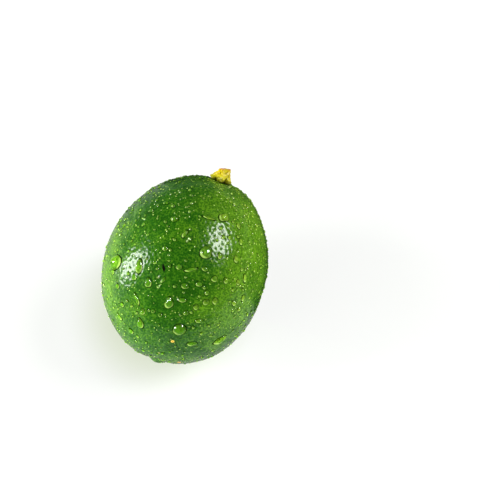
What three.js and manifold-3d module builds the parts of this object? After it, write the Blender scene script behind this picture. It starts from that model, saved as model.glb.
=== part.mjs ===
// A whole fresh lime lying on its side, stem end raised, with its dried calyx button.
//
// Millimetres, +Z up. The fruit is shaped standing on its blossom end, with its long axis
// on +Z, and then laid down in a group that turns that axis to +Y and tips it upward.
// Directions round the long axis are counted from +X: 90 degrees is then the side that
// faces up once the fruit lies down, and 270 degrees the side that rests.

import * as THREE from "three";
import { mergeVertices } from "three/addons/utils/BufferGeometryUtils.js";
import Module from "manifold-3d";

// ---- body of the fruit
const BODY_WIDTH = 57.0; // across the middle
const BODY_LENGTH = 67.4; // along the long axis, without the nipple
const BLOSSOM_FULLNESS = 0.033; // share by which the blossom half is wider, and the stem half slimmer
const CORE_SKEW_DEG = 6.4; // the core, from stem to nipple, leans this far off the long axis
const CORE_SKEW_TOWARD_DEG = 60.0; // side that the stem end leans to, round the long axis

// ---- how it lies
const STEM_RISE_DEG = 24.5; // slope of the long axis, stem end up
const REST_FLAT_DEPTH = 0.72; // how far the soft peel is pressed flat where it rests

// ---- stem end: a shallow dish with furrows that run out from the calyx
const DISH_DEPTH = 0.55;
const DISH_REACH = 5.5;
const FURROW_COUNT = 5;
const FURROW_DEPTH = 0.3;
const FURROW_RADIUS = 7.0; // where the furrows are deepest
const FURROW_REACH = 3.2;

// ---- blossom end: a low blunt nipple in a ring furrow, with one dent beside it
const NIPPLE_HEIGHT = 1.75;
const NIPPLE_RADIUS = 2.95;
const NIPPLE_BLUNTNESS = 2.24; // 2 is a plain hump, more is blunter with steeper flanks
const NIPPLE_OFFSET = 2.1; // from the end of the core to the nipple's tip
const NIPPLE_TOWARD_DEG = -14.0; // side that the tip has grown to, round the core
const NIPPLE_PIT_DEPTH = 0.3; // dried style scar at the tip
const NIPPLE_PIT_RADIUS = 0.9;
const RING_FURROW_DEPTH = 0.56;
const RING_FURROW_RADIUS = 5.05;
const RING_FURROW_REACH = 1.77;
const DENT_DEPTH = 1.04;
const DENT_REACH = 3.35;
const DENT_OFFSET = 9.2; // from the end of the core to the middle of the dent
const DENT_TOWARD_DEG = 70.0; // side of the dent, round the core

// ---- gentle swells and flats of one grown fruit
// fromStem: degrees down from the stem end. round: degrees round the long axis.
// rise: height in mm, negative for a flat. reach: degrees over which it fades.
const SWELLS = [
    { fromStem: 26, round: -8, rise: 0.55, reach: 16 },
    { fromStem: 24, round: 172, rise: -0.35, reach: 12 },
    { fromStem: 80, round: 172, rise: 0.3, reach: 18 },
    { fromStem: 138, round: 172, rise: -0.35, reach: 12 },
    { fromStem: 136, round: -8, rise: 0.25, reach: 13 },
    { fromStem: 90, round: -8, rise: -0.4, reach: 13 },
    { fromStem: 62, round: 250, rise: 0.3, reach: 22 },
    { fromStem: 115, round: 60, rise: -0.25, reach: 24 },
];

// ---- calyx: a woody button of five fused lobes that narrows to the scar of the stalk
const CALYX_GAP = 0.3; // clear of the peel all round
const CALYX_RADIUS = 4.0; // to the tips of the lobes
const CALYX_HEIGHT = 4.6;
const LOBE_LENGTHS = [0.98, 0.95, 0.9, 1.0, 1.04]; // one share for each lobe: no two grow alike
const LOBE_TOWARD_DEG = 80.0; // side that the first lobe points to, round the core
const NOTCH_DEPTH = 0.34; // how far the notches cut in at the rim, as a share of the radius
const NECK_RIBBING = 0.05; // the same share up on the neck
const NOTCH_FADE = 1.4; // how fast the notches fade up the side
const SCAR_SLANT_DEG = 15.0; // the scar of the stalk is cut off askew
const SCAR_HIGH_SIDE_DEG = -8.0;
// Outline of the button, as [share of the radius, share of the height]: out along the
// underside, up the rim and the neck, and in to the shallow dish of the scar.
const CALYX_OUTLINE = [
    [0, 0],
    [0.45, 0],
    [0.92, 0],
    [1.0, 0.13],
    [0.96, 0.3],
    [0.86, 0.42],
    [0.74, 0.54],
    [0.62, 0.68],
    [0.54, 0.84],
    [0.51, 0.95],
    [0.43, 1.0],
    [0.22, 0.95],
    [0, 0.93],
];

// ---- fineness of the facets
const BODY_SEGMENTS_AROUND = 80;
const BODY_RINGS = 44;
const RING_CROWDING = 0.25; // 0 spaces the rings evenly, 0.5 crowds them most at both ends
const CALYX_SEGMENTS_AROUND = 60;

const PEEL_GREEN = 0x3f8a1c;
const CALYX_YELLOW = 0xd8cf3a;

const rad = THREE.MathUtils.degToRad;

/** Smooth hump: 1 at zero distance, fading over the given reach. */
function hump(distance, reach) {
    return Math.exp(-((distance / reach) ** 2));
}

/** Unit direction at an angle down from +Z and an angle round it, in radians. */
function direction(fromTop, round) {
    return new THREE.Vector3(
        Math.sin(fromTop) * Math.cos(round),
        Math.sin(fromTop) * Math.sin(round),
        Math.cos(fromTop),
    );
}

/** Angle round the standing fruit, in radians, of a side named by where it faces once laid. */
function side(roundDeg) {
    return -rad(roundDeg); // what faces -Y while the fruit stands faces up once it lies
}

/** Direction, round the core, of a place an arc away from the core's blossom end. */
function besideCoreEnd(arc, towardDeg) {
    return direction(Math.PI - arc / (BODY_WIDTH / 2), side(towardDeg));
}

const stemWay = direction(rad(CORE_SKEW_DEG), side(CORE_SKEW_TOWARD_DEG));
const coreTurn = new THREE.Quaternion().setFromUnitVectors(new THREE.Vector3(0, 0, 1), stemWay);
const nippleTip = besideCoreEnd(NIPPLE_OFFSET, NIPPLE_TOWARD_DEG);
const dentMiddle = besideCoreEnd(DENT_OFFSET, DENT_TOWARD_DEG);
const swells = SWELLS.map(({ fromStem, round, rise, reach }) => ({
    way: direction(rad(fromStem), side(round)),
    rise,
    reach: rad(reach),
}));

/** Relief of the two ends, in mm above the plain body, by place on the unit sphere. */
function endRelief(fromStem, round) {
    const stemArc = (fromStem * BODY_WIDTH) / 2;
    const place = direction(fromStem, round);
    const tipArc = (place.angleTo(nippleTip) * BODY_WIDTH) / 2;
    const dentArc = (place.angleTo(dentMiddle) * BODY_WIDTH) / 2;
    const furrow = Math.max(0, Math.cos(FURROW_COUNT * round)) ** 2;
    return (
        -DISH_DEPTH * hump(stemArc, DISH_REACH)
        - FURROW_DEPTH * furrow * hump(stemArc - FURROW_RADIUS, FURROW_REACH)
        + NIPPLE_HEIGHT * Math.exp(-((tipArc / NIPPLE_RADIUS) ** NIPPLE_BLUNTNESS))
        - NIPPLE_PIT_DEPTH * hump(tipArc, NIPPLE_PIT_RADIUS)
        - RING_FURROW_DEPTH * hump(tipArc - RING_FURROW_RADIUS, RING_FURROW_REACH)
        - DENT_DEPTH * hump(dentArc, DENT_REACH)
    );
}

/** Point of the peel, by angle from the stem end and angle round the core, in radians. */
function peelPoint(fromStem, round) {
    const way = direction(fromStem, round).applyQuaternion(coreTurn);
    const halfWidth = (BODY_WIDTH / 2) * (1 - BLOSSOM_FULLNESS * way.z);
    const halfLength = BODY_LENGTH / 2;
    const point = new THREE.Vector3(way.x * halfWidth, way.y * halfWidth, way.z * halfLength);
    const outward = new THREE.Vector3(way.x / halfWidth, way.y / halfWidth, way.z / halfLength);
    let relief = endRelief(fromStem, round);
    for (const swell of swells) {
        relief += swell.rise * hump(way.angleTo(swell.way), swell.reach);
    }
    return point.addScaledVector(outward.normalize(), relief);
}

/** Turn a closed geometry into a manifold-3d solid. */
function toSolid(wasm, geometry) {
    const bare = geometry.clone();
    bare.deleteAttribute("normal");
    bare.deleteAttribute("uv");
    const merged = mergeVertices(bare);
    return new wasm.Manifold(new wasm.Mesh({
        numProp: 3,
        vertProperties: new Float32Array(merged.attributes.position.array),
        triVerts: new Uint32Array(merged.index.array),
    }));
}

/** Turn a manifold-3d solid back into a three.js geometry. */
function toGeometry(solid) {
    const mesh = solid.getMesh();
    const geometry = new THREE.BufferGeometry();
    geometry.setAttribute("position", new THREE.BufferAttribute(mesh.vertProperties, 3));
    geometry.setIndex(new THREE.BufferAttribute(mesh.triVerts, 1));
    geometry.computeVertexNormals();
    return geometry;
}

/** The whole fruit, standing, with both ends shaped and no resting flat yet. */
function makeStandingFruit() {
    const geometry = new THREE.SphereGeometry(1, BODY_SEGMENTS_AROUND, BODY_RINGS);
    geometry.deleteAttribute("normal");
    geometry.deleteAttribute("uv");
    const fruit = mergeVertices(geometry);
    const position = fruit.attributes.position;
    const place = new THREE.Vector3();
    for (let i = 0; i < position.count; i += 1) {
        place.fromBufferAttribute(position, i).normalize();
        const evenAngle = Math.acos(THREE.MathUtils.clamp(place.y, -1, 1));
        const fromStem = evenAngle - RING_CROWDING * Math.sin(2 * evenAngle);
        const point = peelPoint(fromStem, Math.atan2(-place.z, place.x));
        position.setXYZ(i, point.x, point.y, point.z);
    }
    return fruit;
}

/** Group that lays the standing fruit on its side and sets its resting flat on z = 0. */
function makeLaidGroup(fruit) {
    const laid = new THREE.Group();
    laid.rotation.x = -rad(90 - STEM_RISE_DEG);
    laid.updateMatrix();
    const box = new THREE.Box3().setFromBufferAttribute(
        fruit.clone().applyMatrix4(laid.matrix).attributes.position,
    );
    laid.position.z = -(box.min.z + REST_FLAT_DEPTH);
    laid.updateMatrix();
    return laid;
}

/** Cut away what would reach below the surface that the fruit lies on. */
function pressFlat(wasm, fruit, laid) {
    const below = new THREE.BoxGeometry(BODY_LENGTH, BODY_LENGTH, BODY_LENGTH);
    below.translate(0, 0, -BODY_LENGTH / 2);
    below.applyMatrix4(laid.matrix.clone().invert());
    return toGeometry(toSolid(wasm, fruit).subtract(toSolid(wasm, below)));
}

/** Share of the full radius that the calyx keeps at a side and a share of its height. */
function lobeShare(round, heightShare) {
    const turn = (round - side(LOBE_TOWARD_DEG)) / (2 * Math.PI);
    const lobes = LOBE_LENGTHS.length;
    const along = (turn - Math.floor(turn)) * lobes; // whole numbers are the middles of lobes
    const lobe = Math.floor(along) % lobes;
    const between = along - Math.floor(along);
    const length = THREE.MathUtils.lerp(
        LOBE_LENGTHS[lobe],
        LOBE_LENGTHS[(lobe + 1) % lobes],
        THREE.MathUtils.smoothstep(between, 0, 1),
    );
    const notch = 1 - Math.abs(Math.cos(Math.PI * between));
    const depth = NECK_RIBBING + (NOTCH_DEPTH - NECK_RIBBING) * (1 - heightShare) ** NOTCH_FADE;
    return THREE.MathUtils.lerp(length, 1, heightShare) * (1 - depth * notch);
}

/** The calyx button, following the peel under it at a constant gap. */
function makeCalyx() {
    const outline = CALYX_OUTLINE.map(([radius, height]) => new THREE.Vector2(radius, height));
    const calyx = new THREE.LatheGeometry(outline, CALYX_SEGMENTS_AROUND);
    const position = calyx.attributes.position;
    for (let i = 0; i < position.count; i += 1) {
        const heightShare = position.getY(i);
        const round = Math.atan2(position.getX(i), position.getZ(i));
        const share = Math.hypot(position.getX(i), position.getZ(i));
        const radius = CALYX_RADIUS * share * lobeShare(round, heightShare);
        const slant = Math.tan(rad(SCAR_SLANT_DEG)) * Math.cos(round - side(SCAR_HIGH_SIDE_DEG));
        const height = heightShare * (CALYX_HEIGHT - CALYX_GAP) + heightShare ** 2 * radius * slant;
        const point = peelPoint(Math.asin(radius / (BODY_WIDTH / 2)), round);
        point.addScaledVector(stemWay, CALYX_GAP + height);
        position.setXYZ(i, point.x, point.y, point.z);
    }
    calyx.computeVertexNormals();
    return calyx;
}

const wasm = await Module();
wasm.setup();

const standing = makeStandingFruit();
const laid = makeLaidGroup(standing);

const lime = new THREE.Mesh(
    pressFlat(wasm, standing, laid),
    new THREE.MeshStandardMaterial({ color: PEEL_GREEN, roughness: 0.42, metalness: 0 }),
);
lime.name = "lime_fruit";

const calyx = new THREE.Mesh(
    makeCalyx(),
    new THREE.MeshStandardMaterial({ color: CALYX_YELLOW, roughness: 0.6, metalness: 0 }),
);
calyx.name = "calyx";
laid.add(lime, calyx);

// The origin is the middle of the footprint, on the surface that the fruit lies on.
const model = new THREE.Group();
model.add(laid);
model.updateMatrixWorld(true);
const reach = new THREE.Box3().setFromObject(laid, true);
laid.position.x -= (reach.min.x + reach.max.x) / 2;
laid.position.y -= (reach.min.y + reach.max.y) / 2;

export default model;
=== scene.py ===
"""A fresh wet lime on a white table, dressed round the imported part.

The fruit's form is one formula in millimetres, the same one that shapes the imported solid, so the
fine peel, the calyx and every drop of water sit on it exactly. Row frame: +Z up, the stem end
raised toward +Y, metres.
"""

import logging
import math
from dataclasses import dataclass, field
from enum import Enum, IntEnum
from typing import ClassVar, Iterable, Mapping, Sequence

import bpy
import numpy as np
from mathutils import Matrix, Vector
from mathutils.bvhtree import BVHTree
from mathutils.kdtree import KDTree

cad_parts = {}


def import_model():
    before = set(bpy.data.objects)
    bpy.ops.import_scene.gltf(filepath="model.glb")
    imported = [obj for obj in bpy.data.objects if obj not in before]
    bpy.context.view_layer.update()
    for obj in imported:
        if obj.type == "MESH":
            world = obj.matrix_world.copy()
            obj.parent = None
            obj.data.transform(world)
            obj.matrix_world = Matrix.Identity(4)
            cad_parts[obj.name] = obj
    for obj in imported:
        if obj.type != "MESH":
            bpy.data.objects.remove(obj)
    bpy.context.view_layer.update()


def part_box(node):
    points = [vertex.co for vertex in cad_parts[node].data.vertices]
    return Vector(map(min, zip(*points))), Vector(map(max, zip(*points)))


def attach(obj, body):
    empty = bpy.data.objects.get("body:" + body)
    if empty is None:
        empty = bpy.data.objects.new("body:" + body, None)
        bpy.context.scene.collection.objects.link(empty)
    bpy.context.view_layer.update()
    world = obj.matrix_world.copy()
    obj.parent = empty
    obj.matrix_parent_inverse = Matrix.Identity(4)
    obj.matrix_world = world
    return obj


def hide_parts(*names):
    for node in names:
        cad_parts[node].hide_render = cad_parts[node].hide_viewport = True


LOG = logging.getLogger("lime")
MM = 0.001
TAU = 2 * math.pi

Array = np.ndarray
Colour = tuple[float, float, float, float]
Material = bpy.types.Material
Piece = bpy.types.Object
Socket = bpy.types.NodeSocket
Tree = bpy.types.NodeTree


class MixSocket(IntEnum):
    """Sockets of a Mix node set to colours, which share names."""

    FACTOR = 0
    FIRST = 6
    SECOND = 7
    RESULT = 2


class Side(Enum):
    """Sides of the lying fruit, in degrees round its long axis from +X."""

    RIGHT = -8.0
    LEFT = 172.0
    UNDER = 250.0
    UPPER_RIGHT = 60.0


@dataclass(frozen=True)
class Pixel:
    """A place in the 500 by 500 picture, from its upper left corner."""

    x: float
    y: float


# ---- small tools


def linear(colour: str) -> Colour:
    """Turn an sRGB hex colour into linear light.

    Args:
        colour: "#rrggbb".

    Returns:
        Red, green, blue and an alpha of 1.
    """
    channels = [int(colour[i : i + 2], 16) / 255 for i in (1, 3, 5)]
    light = [c / 12.92 if c <= 0.04045 else ((c + 0.055) / 1.055) ** 2.4 for c in channels]
    return light[0], light[1], light[2], 1.0


def per_metre(size_mm: float) -> float:
    """Texture scale at which one cell of a pattern is size_mm across."""
    return 1 / (size_mm * MM)


def add_node(
    tree: Tree,
    kind: str,
    inputs: Mapping[str | int, object] | None = None,
    stops: Iterable[tuple[float, str]] = (),
    **settings: object,
) -> bpy.types.Node:
    """Add a node, set its options, and fill or link its inputs.

    Args:
        tree: the node tree to add to.
        kind: the node's type name, after "ShaderNode".
        inputs: by socket name or number, a value, a hex colour or another node's output socket.
        stops: positions and hex colours of a colour ramp, in rising order.
        settings: the node's own options.

    Returns:
        The new node.
    """
    node = tree.nodes.new("ShaderNode" + kind)
    for name, value in settings.items():
        setattr(node, name, value)
    for place, value in (inputs or {}).items():
        socket = node.inputs[place]
        if isinstance(value, Socket):
            tree.links.new(value, socket)
        else:
            socket.default_value = linear(value) if isinstance(value, str) else value
    for number, (position, colour) in enumerate(stops):
        elements = node.color_ramp.elements
        element = elements[number] if number < 2 else elements.new(position)
        element.position = position
        element.color = linear(colour)
    return node


def lay_over(
    tree: Tree, colour: Socket, layers: Iterable[tuple[Socket, float, float, float, str | Socket]]
) -> Socket:
    """Lay thin layers of tint over a colour.

    Args:
        tree: the material's node tree.
        colour: the colour under them.
        layers: from the lowest up, the amount that places each, the amounts at which it starts
            and is full, its cover where it is full, and its tint as a hex colour or a socket.

    Returns:
        The colour with the layers on it.
    """
    for amount, start, full, cover, tint in layers:
        share = add_node(
            tree,
            "MapRange",
            {"Value": amount, "From Min": start, "From Max": full, "To Max": cover},
        ).outputs["Result"]
        colour = add_node(
            tree,
            "Mix",
            {MixSocket.FACTOR: share, MixSocket.FIRST: colour, MixSocket.SECOND: tint},
            data_type="RGBA",
        ).outputs[MixSocket.RESULT]
    return colour


def mesh_object(
    name: str,
    points: Array,
    faces: Sequence[Sequence[int]],
    materials: Sequence[Material],
    amounts: Mapping[str, Array] | None = None,
    finish_of: Sequence[int] = (),
) -> Piece:
    """Make a smooth shaded mesh object at the origin.

    Args:
        name: the object's name.
        points: corner places in metres, one row each.
        faces: corner numbers of each face.
        materials: its finishes.
        amounts: named numbers stored at each corner for the finishes to read.
        finish_of: for each face the number of its finish, all the first if left out.

    Returns:
        The new object, linked into the scene.
    """
    mesh = bpy.data.meshes.new(name)
    mesh.from_pydata(points.tolist(), [], [list(map(int, face)) for face in faces])
    mesh.shade_smooth()
    for label, values in (amounts or {}).items():
        layer = mesh.attributes.new(label, "FLOAT", "POINT")
        layer.data.foreach_set("value", np.asarray(values, dtype=np.float32))
    for material in materials:
        mesh.materials.append(material)
    if finish_of:
        mesh.polygons.foreach_set("material_index", np.asarray(finish_of, dtype=np.int32))
    mesh.update()
    made = bpy.data.objects.new(name, mesh)
    bpy.context.scene.collection.objects.link(made)
    return made


def ring_faces(number: Array, low: int, high: int) -> list[list[int]]:
    """Join rings of corners, and close both ends with a fan, all facing out.

    Args:
        number: corner numbers, a row for each ring from the lowest up.
        low: corner number of the lower end.
        high: corner number of the upper end.

    Returns:
        Corner numbers of each face, from the lower fan up.
    """
    beside = np.roll(number, -1, axis=1)
    bands = np.stack([number[:-1], beside[:-1], beside[1:], number[1:]], axis=-1)
    low_fan = [[low, b, a] for a, b in zip(number[0].tolist(), beside[0].tolist())]
    high_fan = [[high, a, b] for a, b in zip(number[-1].tolist(), beside[-1].tolist())]
    return low_fan + bands.reshape(-1, 4).tolist() + high_fan


def area_lamp(
    name: str,
    place: Vector,
    away: Vector,
    size_mm: tuple[float, float],
    watts: float,
    shape: str = "ELLIPSE",
) -> Piece:
    """Add a soft lamp that the camera doesn't see.

    Args:
        name: its name.
        place: its middle in metres.
        away: direction from what it lights to the lamp.
        size_mm: its width and height.
        watts: its power.
        shape: Blender's name of its outline.

    Returns:
        The lamp.
    """
    data = bpy.data.lights.new(name, "AREA")
    data.shape = shape
    data.size, data.size_y = (size * MM for size in size_mm)
    data.energy = watts
    lamp = bpy.data.objects.new(name, data)
    lamp.location = place
    lamp.rotation_euler = away.to_track_quat("Z", "Y").to_euler()
    lamp.visible_camera = False
    bpy.context.scene.collection.objects.link(lamp)
    return lamp


def hump(distance: Array, reach: float | Array) -> Array:
    """Smooth hump: 1 at zero distance, fading over the given reach."""
    return np.exp(-((distance / reach) ** 2))


def rising(values: Array, start: float, end: float) -> Array:
    """Share from 0 to 1 as values go from start to end, level outside them."""
    return np.clip((values - start) / (end - start), 0, 1)


def unit(vectors: Array) -> Array:
    """Scale rows of vectors to length 1."""
    return vectors / np.linalg.norm(vectors, axis=-1, keepdims=True)


def even_directions(count: int) -> Array:
    """Spread directions evenly over the sphere on a golden spiral.

    Args:
        count: how many.

    Returns:
        Unit vectors, one row each.
    """
    number = np.arange(count) + 0.5
    from_top = np.arccos(1 - 2 * number / count)
    round_ = math.pi * (1 + math.sqrt(5)) * number
    return direction(from_top, round_)


def direction(from_top: Array, round_: Array) -> Array:
    """Unit vectors at angles down from +Z and round it, in radians."""
    return np.stack(
        [np.sin(from_top) * np.cos(round_), np.sin(from_top) * np.sin(round_), np.cos(from_top)],
        axis=-1,
    )


def side_angle(side_deg: float) -> float:
    """Angle round the standing fruit, in radians, of a side named by where it faces once laid."""
    return -math.radians(side_deg)


def cube_sphere(cells: int) -> tuple[Array, Array]:
    """Cover the unit sphere with nearly even quads, as a cube blown up.

    Args:
        cells: quads along each edge of the cube.

    Returns:
        Corner directions, and four corner numbers for each quad, facing out.
    """
    line = np.tan(np.linspace(-1, 1, cells + 1) * math.pi / 4)
    across, up = np.meshgrid(line, line, indexing="ij")
    ones = np.ones_like(across)
    corner = np.arange((cells + 1) ** 2).reshape(cells + 1, cells + 1)
    quad = np.stack(
        [corner[:-1, :-1], corner[1:, :-1], corner[1:, 1:], corner[:-1, 1:]], axis=-1
    ).reshape(-1, 4)
    sheets, quads = [], []
    for axis in range(3):
        for sign in (1, -1):
            sheet = np.stack([ones * sign, across * sign, up], axis=-1).reshape(-1, 3)
            quads.append(quad + len(sheets) * corner.size)
            sheets.append(np.roll(sheet, axis, axis=1))
    points = unit(np.concatenate(sheets))
    _, first, merged = np.unique(
        np.round(points, 6), axis=0, return_index=True, return_inverse=True
    )
    return points[first], merged.reshape(-1)[np.concatenate(quads)]


# ---- form of the fruit


@dataclass(frozen=True)
class Swell:
    """A gentle swell, or a flat where its rise is negative.

    Attributes:
        from_stem_deg: how far down from the stem end it is.
        side: which side of the fruit it is on.
        rise_mm: its height.
        reach_deg: how far it takes to fade.
    """

    from_stem_deg: float
    side: Side
    rise_mm: float
    reach_deg: float

    @property
    def side_deg(self) -> float:
        """The side in degrees."""
        return self.side.value


@dataclass(frozen=True)
class Patch:
    """A soft patch of the rind that is yellower than the rest, or greener if its rise is negative.

    Attributes:
        from_stem_deg: how far down from the stem end it is.
        side_deg: which side of the fruit it is on.
        rise: what it adds to the ripeness.
        reach_deg: how far it takes to fade.
    """

    from_stem_deg: float
    side_deg: float
    rise: float
    reach_deg: float


@dataclass
class FruitForm:
    """The fruit's form as one formula, in millimetres, standing on its blossom end.

    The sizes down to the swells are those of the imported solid, under the same names. The rest
    says how yellow the rind is and how closely the form is worked out.

    Attributes:
        patches: where the rind is yellower or greener than the rest.
        ripeness_all_over: how yellow the rind is away from them.
        stem_ripeness: what the stem end adds to that.
        stem_ripeness_deg: how far that takes to fade.
        box_cells: fineness of the net that the fruit's box is measured on.
        way_rounds: rounds of nearing the body direction of a point.
        shift: what brings the laid fruit to its place, in mm.
    """

    width: float = 57.0
    length: float = 67.4
    blossom_fullness: float = 0.033
    core_skew_deg: float = 6.4
    core_skew_toward_deg: float = 60.0
    stem_rise_deg: float = 24.5
    dish_depth: float = 0.55
    dish_reach: float = 5.5
    furrow_count: int = 5
    furrow_depth: float = 0.3
    furrow_radius: float = 7.0
    furrow_reach: float = 3.2
    nipple_height: float = 1.75
    nipple_radius: float = 2.95
    nipple_bluntness: float = 2.24
    nipple_offset: float = 2.1
    nipple_toward_deg: float = -14.0
    nipple_pit_depth: float = 0.3
    nipple_pit_radius: float = 0.9
    ring_furrow_depth: float = 0.56
    ring_furrow_radius: float = 5.05
    ring_furrow_reach: float = 1.77
    dent_depth: float = 1.04
    dent_reach: float = 3.35
    dent_offset: float = 9.2
    dent_toward_deg: float = 70.0
    pressed_edge: float = 0.12
    swells: tuple[Swell, ...] = (
        Swell(26, Side.RIGHT, 0.55, 16),
        Swell(24, Side.LEFT, -0.35, 12),
        Swell(80, Side.LEFT, 0.3, 18),
        Swell(138, Side.LEFT, -0.35, 12),
        Swell(136, Side.RIGHT, 0.25, 13),
        Swell(90, Side.RIGHT, -0.4, 13),
        Swell(62, Side.UNDER, 0.3, 22),
        Swell(115, Side.UPPER_RIGHT, -0.25, 24),
    )
    patches: tuple[Patch, ...] = (
        Patch(47, 30, 0.27, 36),
        Patch(105, 152, 0.17, 32),
        Patch(48, 130, -0.08, 24),
        Patch(100, 84, -0.09, 24),
        Patch(134, 62, -0.06, 16),
        Patch(100, 38, 0.14, 26),
        Patch(134, 112, 0.04, 18),
        Patch(104, 262, 0.2, 38),
    )
    ripeness_all_over: float = 0.12
    stem_ripeness: float = 0.05
    stem_ripeness_deg: float = 16.0
    box_cells: int = 40
    way_rounds: int = 3
    shift: Array = field(default_factory=lambda: np.zeros(3))

    def __post_init__(self) -> None:
        """Work out the core's way and the turn that lays the fruit down."""
        skew = math.radians(self.core_skew_deg)
        toward = side_angle(self.core_skew_toward_deg)
        self.stem_way = direction(np.array(skew), np.array(toward))
        turn = Vector((0, 0, 1)).rotation_difference(Vector(self.stem_way))
        self.core_turn = np.array(turn.to_matrix())
        self.lay_turn = np.array(Matrix.Rotation(-math.radians(90 - self.stem_rise_deg), 3, "X"))

    def core_angles(self, ways: Array) -> tuple[Array, Array]:
        """Angles from the stem end and round the core, in radians, of body directions."""
        core = ways @ self.core_turn
        return np.arccos(np.clip(core[..., 2], -1, 1)), np.arctan2(core[..., 1], core[..., 0])

    def end_relief(self, from_stem: Array, round_: Array) -> Array:
        """Relief of the two ends.

        Args:
            from_stem: angles from the stem end, in radians.
            round_: angles round the core, in radians.

        Returns:
            Heights above the plain body, in mm.
        """
        stem_arc = from_stem * self.width / 2
        core = direction(from_stem, round_)
        tip = self.beside_core_end(self.nipple_offset, self.nipple_toward_deg)
        dent = self.beside_core_end(self.dent_offset, self.dent_toward_deg)
        tip_arc, dent_arc = (
            np.arccos(np.clip(core @ middle, -1, 1)) * self.width / 2 for middle in (tip, dent)
        )
        furrow = np.maximum(0, np.cos(self.furrow_count * round_)) ** 2
        nipple = np.exp(-((tip_arc / self.nipple_radius) ** self.nipple_bluntness))
        ring = hump(tip_arc - self.ring_furrow_radius, self.ring_furrow_reach)
        return (
            -self.dish_depth * hump(stem_arc, self.dish_reach)
            - self.furrow_depth * furrow * hump(stem_arc - self.furrow_radius, self.furrow_reach)
            + self.nipple_height * nipple
            - self.nipple_pit_depth * hump(tip_arc, self.nipple_pit_radius)
            - self.ring_furrow_depth * ring
            - self.dent_depth * hump(dent_arc, self.dent_reach)
        )

    def beside_core_end(self, arc_mm: float, toward_deg: float) -> Array:
        """Core direction of a place an arc away from the core's blossom end."""
        from_stem = np.array(math.pi - arc_mm / (self.width / 2))
        return direction(from_stem, np.array(side_angle(toward_deg)))

    def peel(self, ways: Array, extra: Array | float = 0.0) -> Array:
        """Points of the peel on the standing fruit.

        Args:
            ways: unit body directions, one row each.
            extra: further relief in mm.

        Returns:
            Points in mm.
        """
        relief = self.end_relief(*self.core_angles(ways)) + extra
        for swell in self.swells:
            reach = math.radians(swell.reach_deg)
            relief = relief + swell.rise_mm * hump(self.apart(ways, swell), reach)
        half = self.half_sizes(ways)
        return ways * half + unit(ways / half) * relief[..., None]

    def half_sizes(self, ways: Array) -> Array:
        """Half sizes of the plain body.

        Args:
            ways: body directions.

        Returns:
            Half width twice and half length at each direction, in mm.
        """
        half_width = self.width / 2 * (1 - self.blossom_fullness * ways[..., 2])
        half_length = np.full_like(half_width, self.length / 2)
        return np.stack([half_width, half_width, half_length], axis=-1)

    def ripeness(self, ways: Array) -> Array:
        """How far each place has turned from deep green toward yellow-green.

        Args:
            ways: body directions.

        Returns:
            Shares from about -0.2 to 0.6.
        """
        from_stem, _ = self.core_angles(ways)
        stem_end = hump(from_stem, math.radians(self.stem_ripeness_deg))
        share = self.ripeness_all_over + self.stem_ripeness * stem_end
        for patch in self.patches:
            reach = math.radians(patch.reach_deg)
            share = share + patch.rise * hump(self.apart(ways, patch), reach)
        return share

    def apart(self, ways: Array, place: Swell | Patch) -> Array:
        """Angles in radians between body directions and the middle of a swell or patch."""
        middle = direction(np.radians(place.from_stem_deg), np.array(side_angle(place.side_deg)))
        return np.arccos(np.clip(ways @ middle, -1, 1))

    def settle(self, low: Vector, high: Vector) -> None:
        """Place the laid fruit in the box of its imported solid.

        Args:
            low: the box's lowest corner in metres.
            high: its highest corner.
        """
        ways, _ = cube_sphere(self.box_cells)
        laid = self.peel(ways) @ self.lay_turn.T
        middle = (laid.min(axis=0) + laid.max(axis=0)) / 2
        self.shift = (np.array(low) + np.array(high)) / 2 / MM - middle
        self.shift[2] = high.z / MM - laid[:, 2].max()

    def lay(self, points: Array) -> Array:
        """Take standing points in mm to the row frame in metres."""
        return (points @ self.lay_turn.T + self.shift) * MM

    def stand(self, points: Array) -> Array:
        """Take row frame points in metres back to the standing fruit in mm."""
        return (points / MM - self.shift) @ self.lay_turn

    def press(self, points: Array) -> Array:
        """Press what would be below the table flat, with a soft rounded edge.

        Args:
            points: row frame points in metres.

        Returns:
            The pressed points.
        """
        pressed = points.copy()
        soft = self.pressed_edge * MM
        height = points[..., 2]
        pressed[..., 2] = (height + np.sqrt(height**2 + soft**2)) / 2
        return pressed

    def way_to(self, points: Array) -> Array:
        """Body directions that lead to places near the peel.

        Args:
            points: row frame points in metres.

        Returns:
            Unit body directions.
        """
        standing = self.stand(points)
        ways = unit(standing)
        for _ in range(self.way_rounds):
            ways = unit(standing / self.half_sizes(ways))
        return ways

    def peel_at(self, ways: Array) -> tuple[Array, Array]:
        """Points of the peel and its outward directions in the row frame.

        Args:
            ways: unit body directions, one row each.

        Returns:
            Points in metres and unit outward directions.
        """
        points = self.lay(self.peel(ways))
        outward = unit(ways / self.half_sizes(ways)) @ self.lay_turn.T
        return points, outward


# ---- camera


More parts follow.
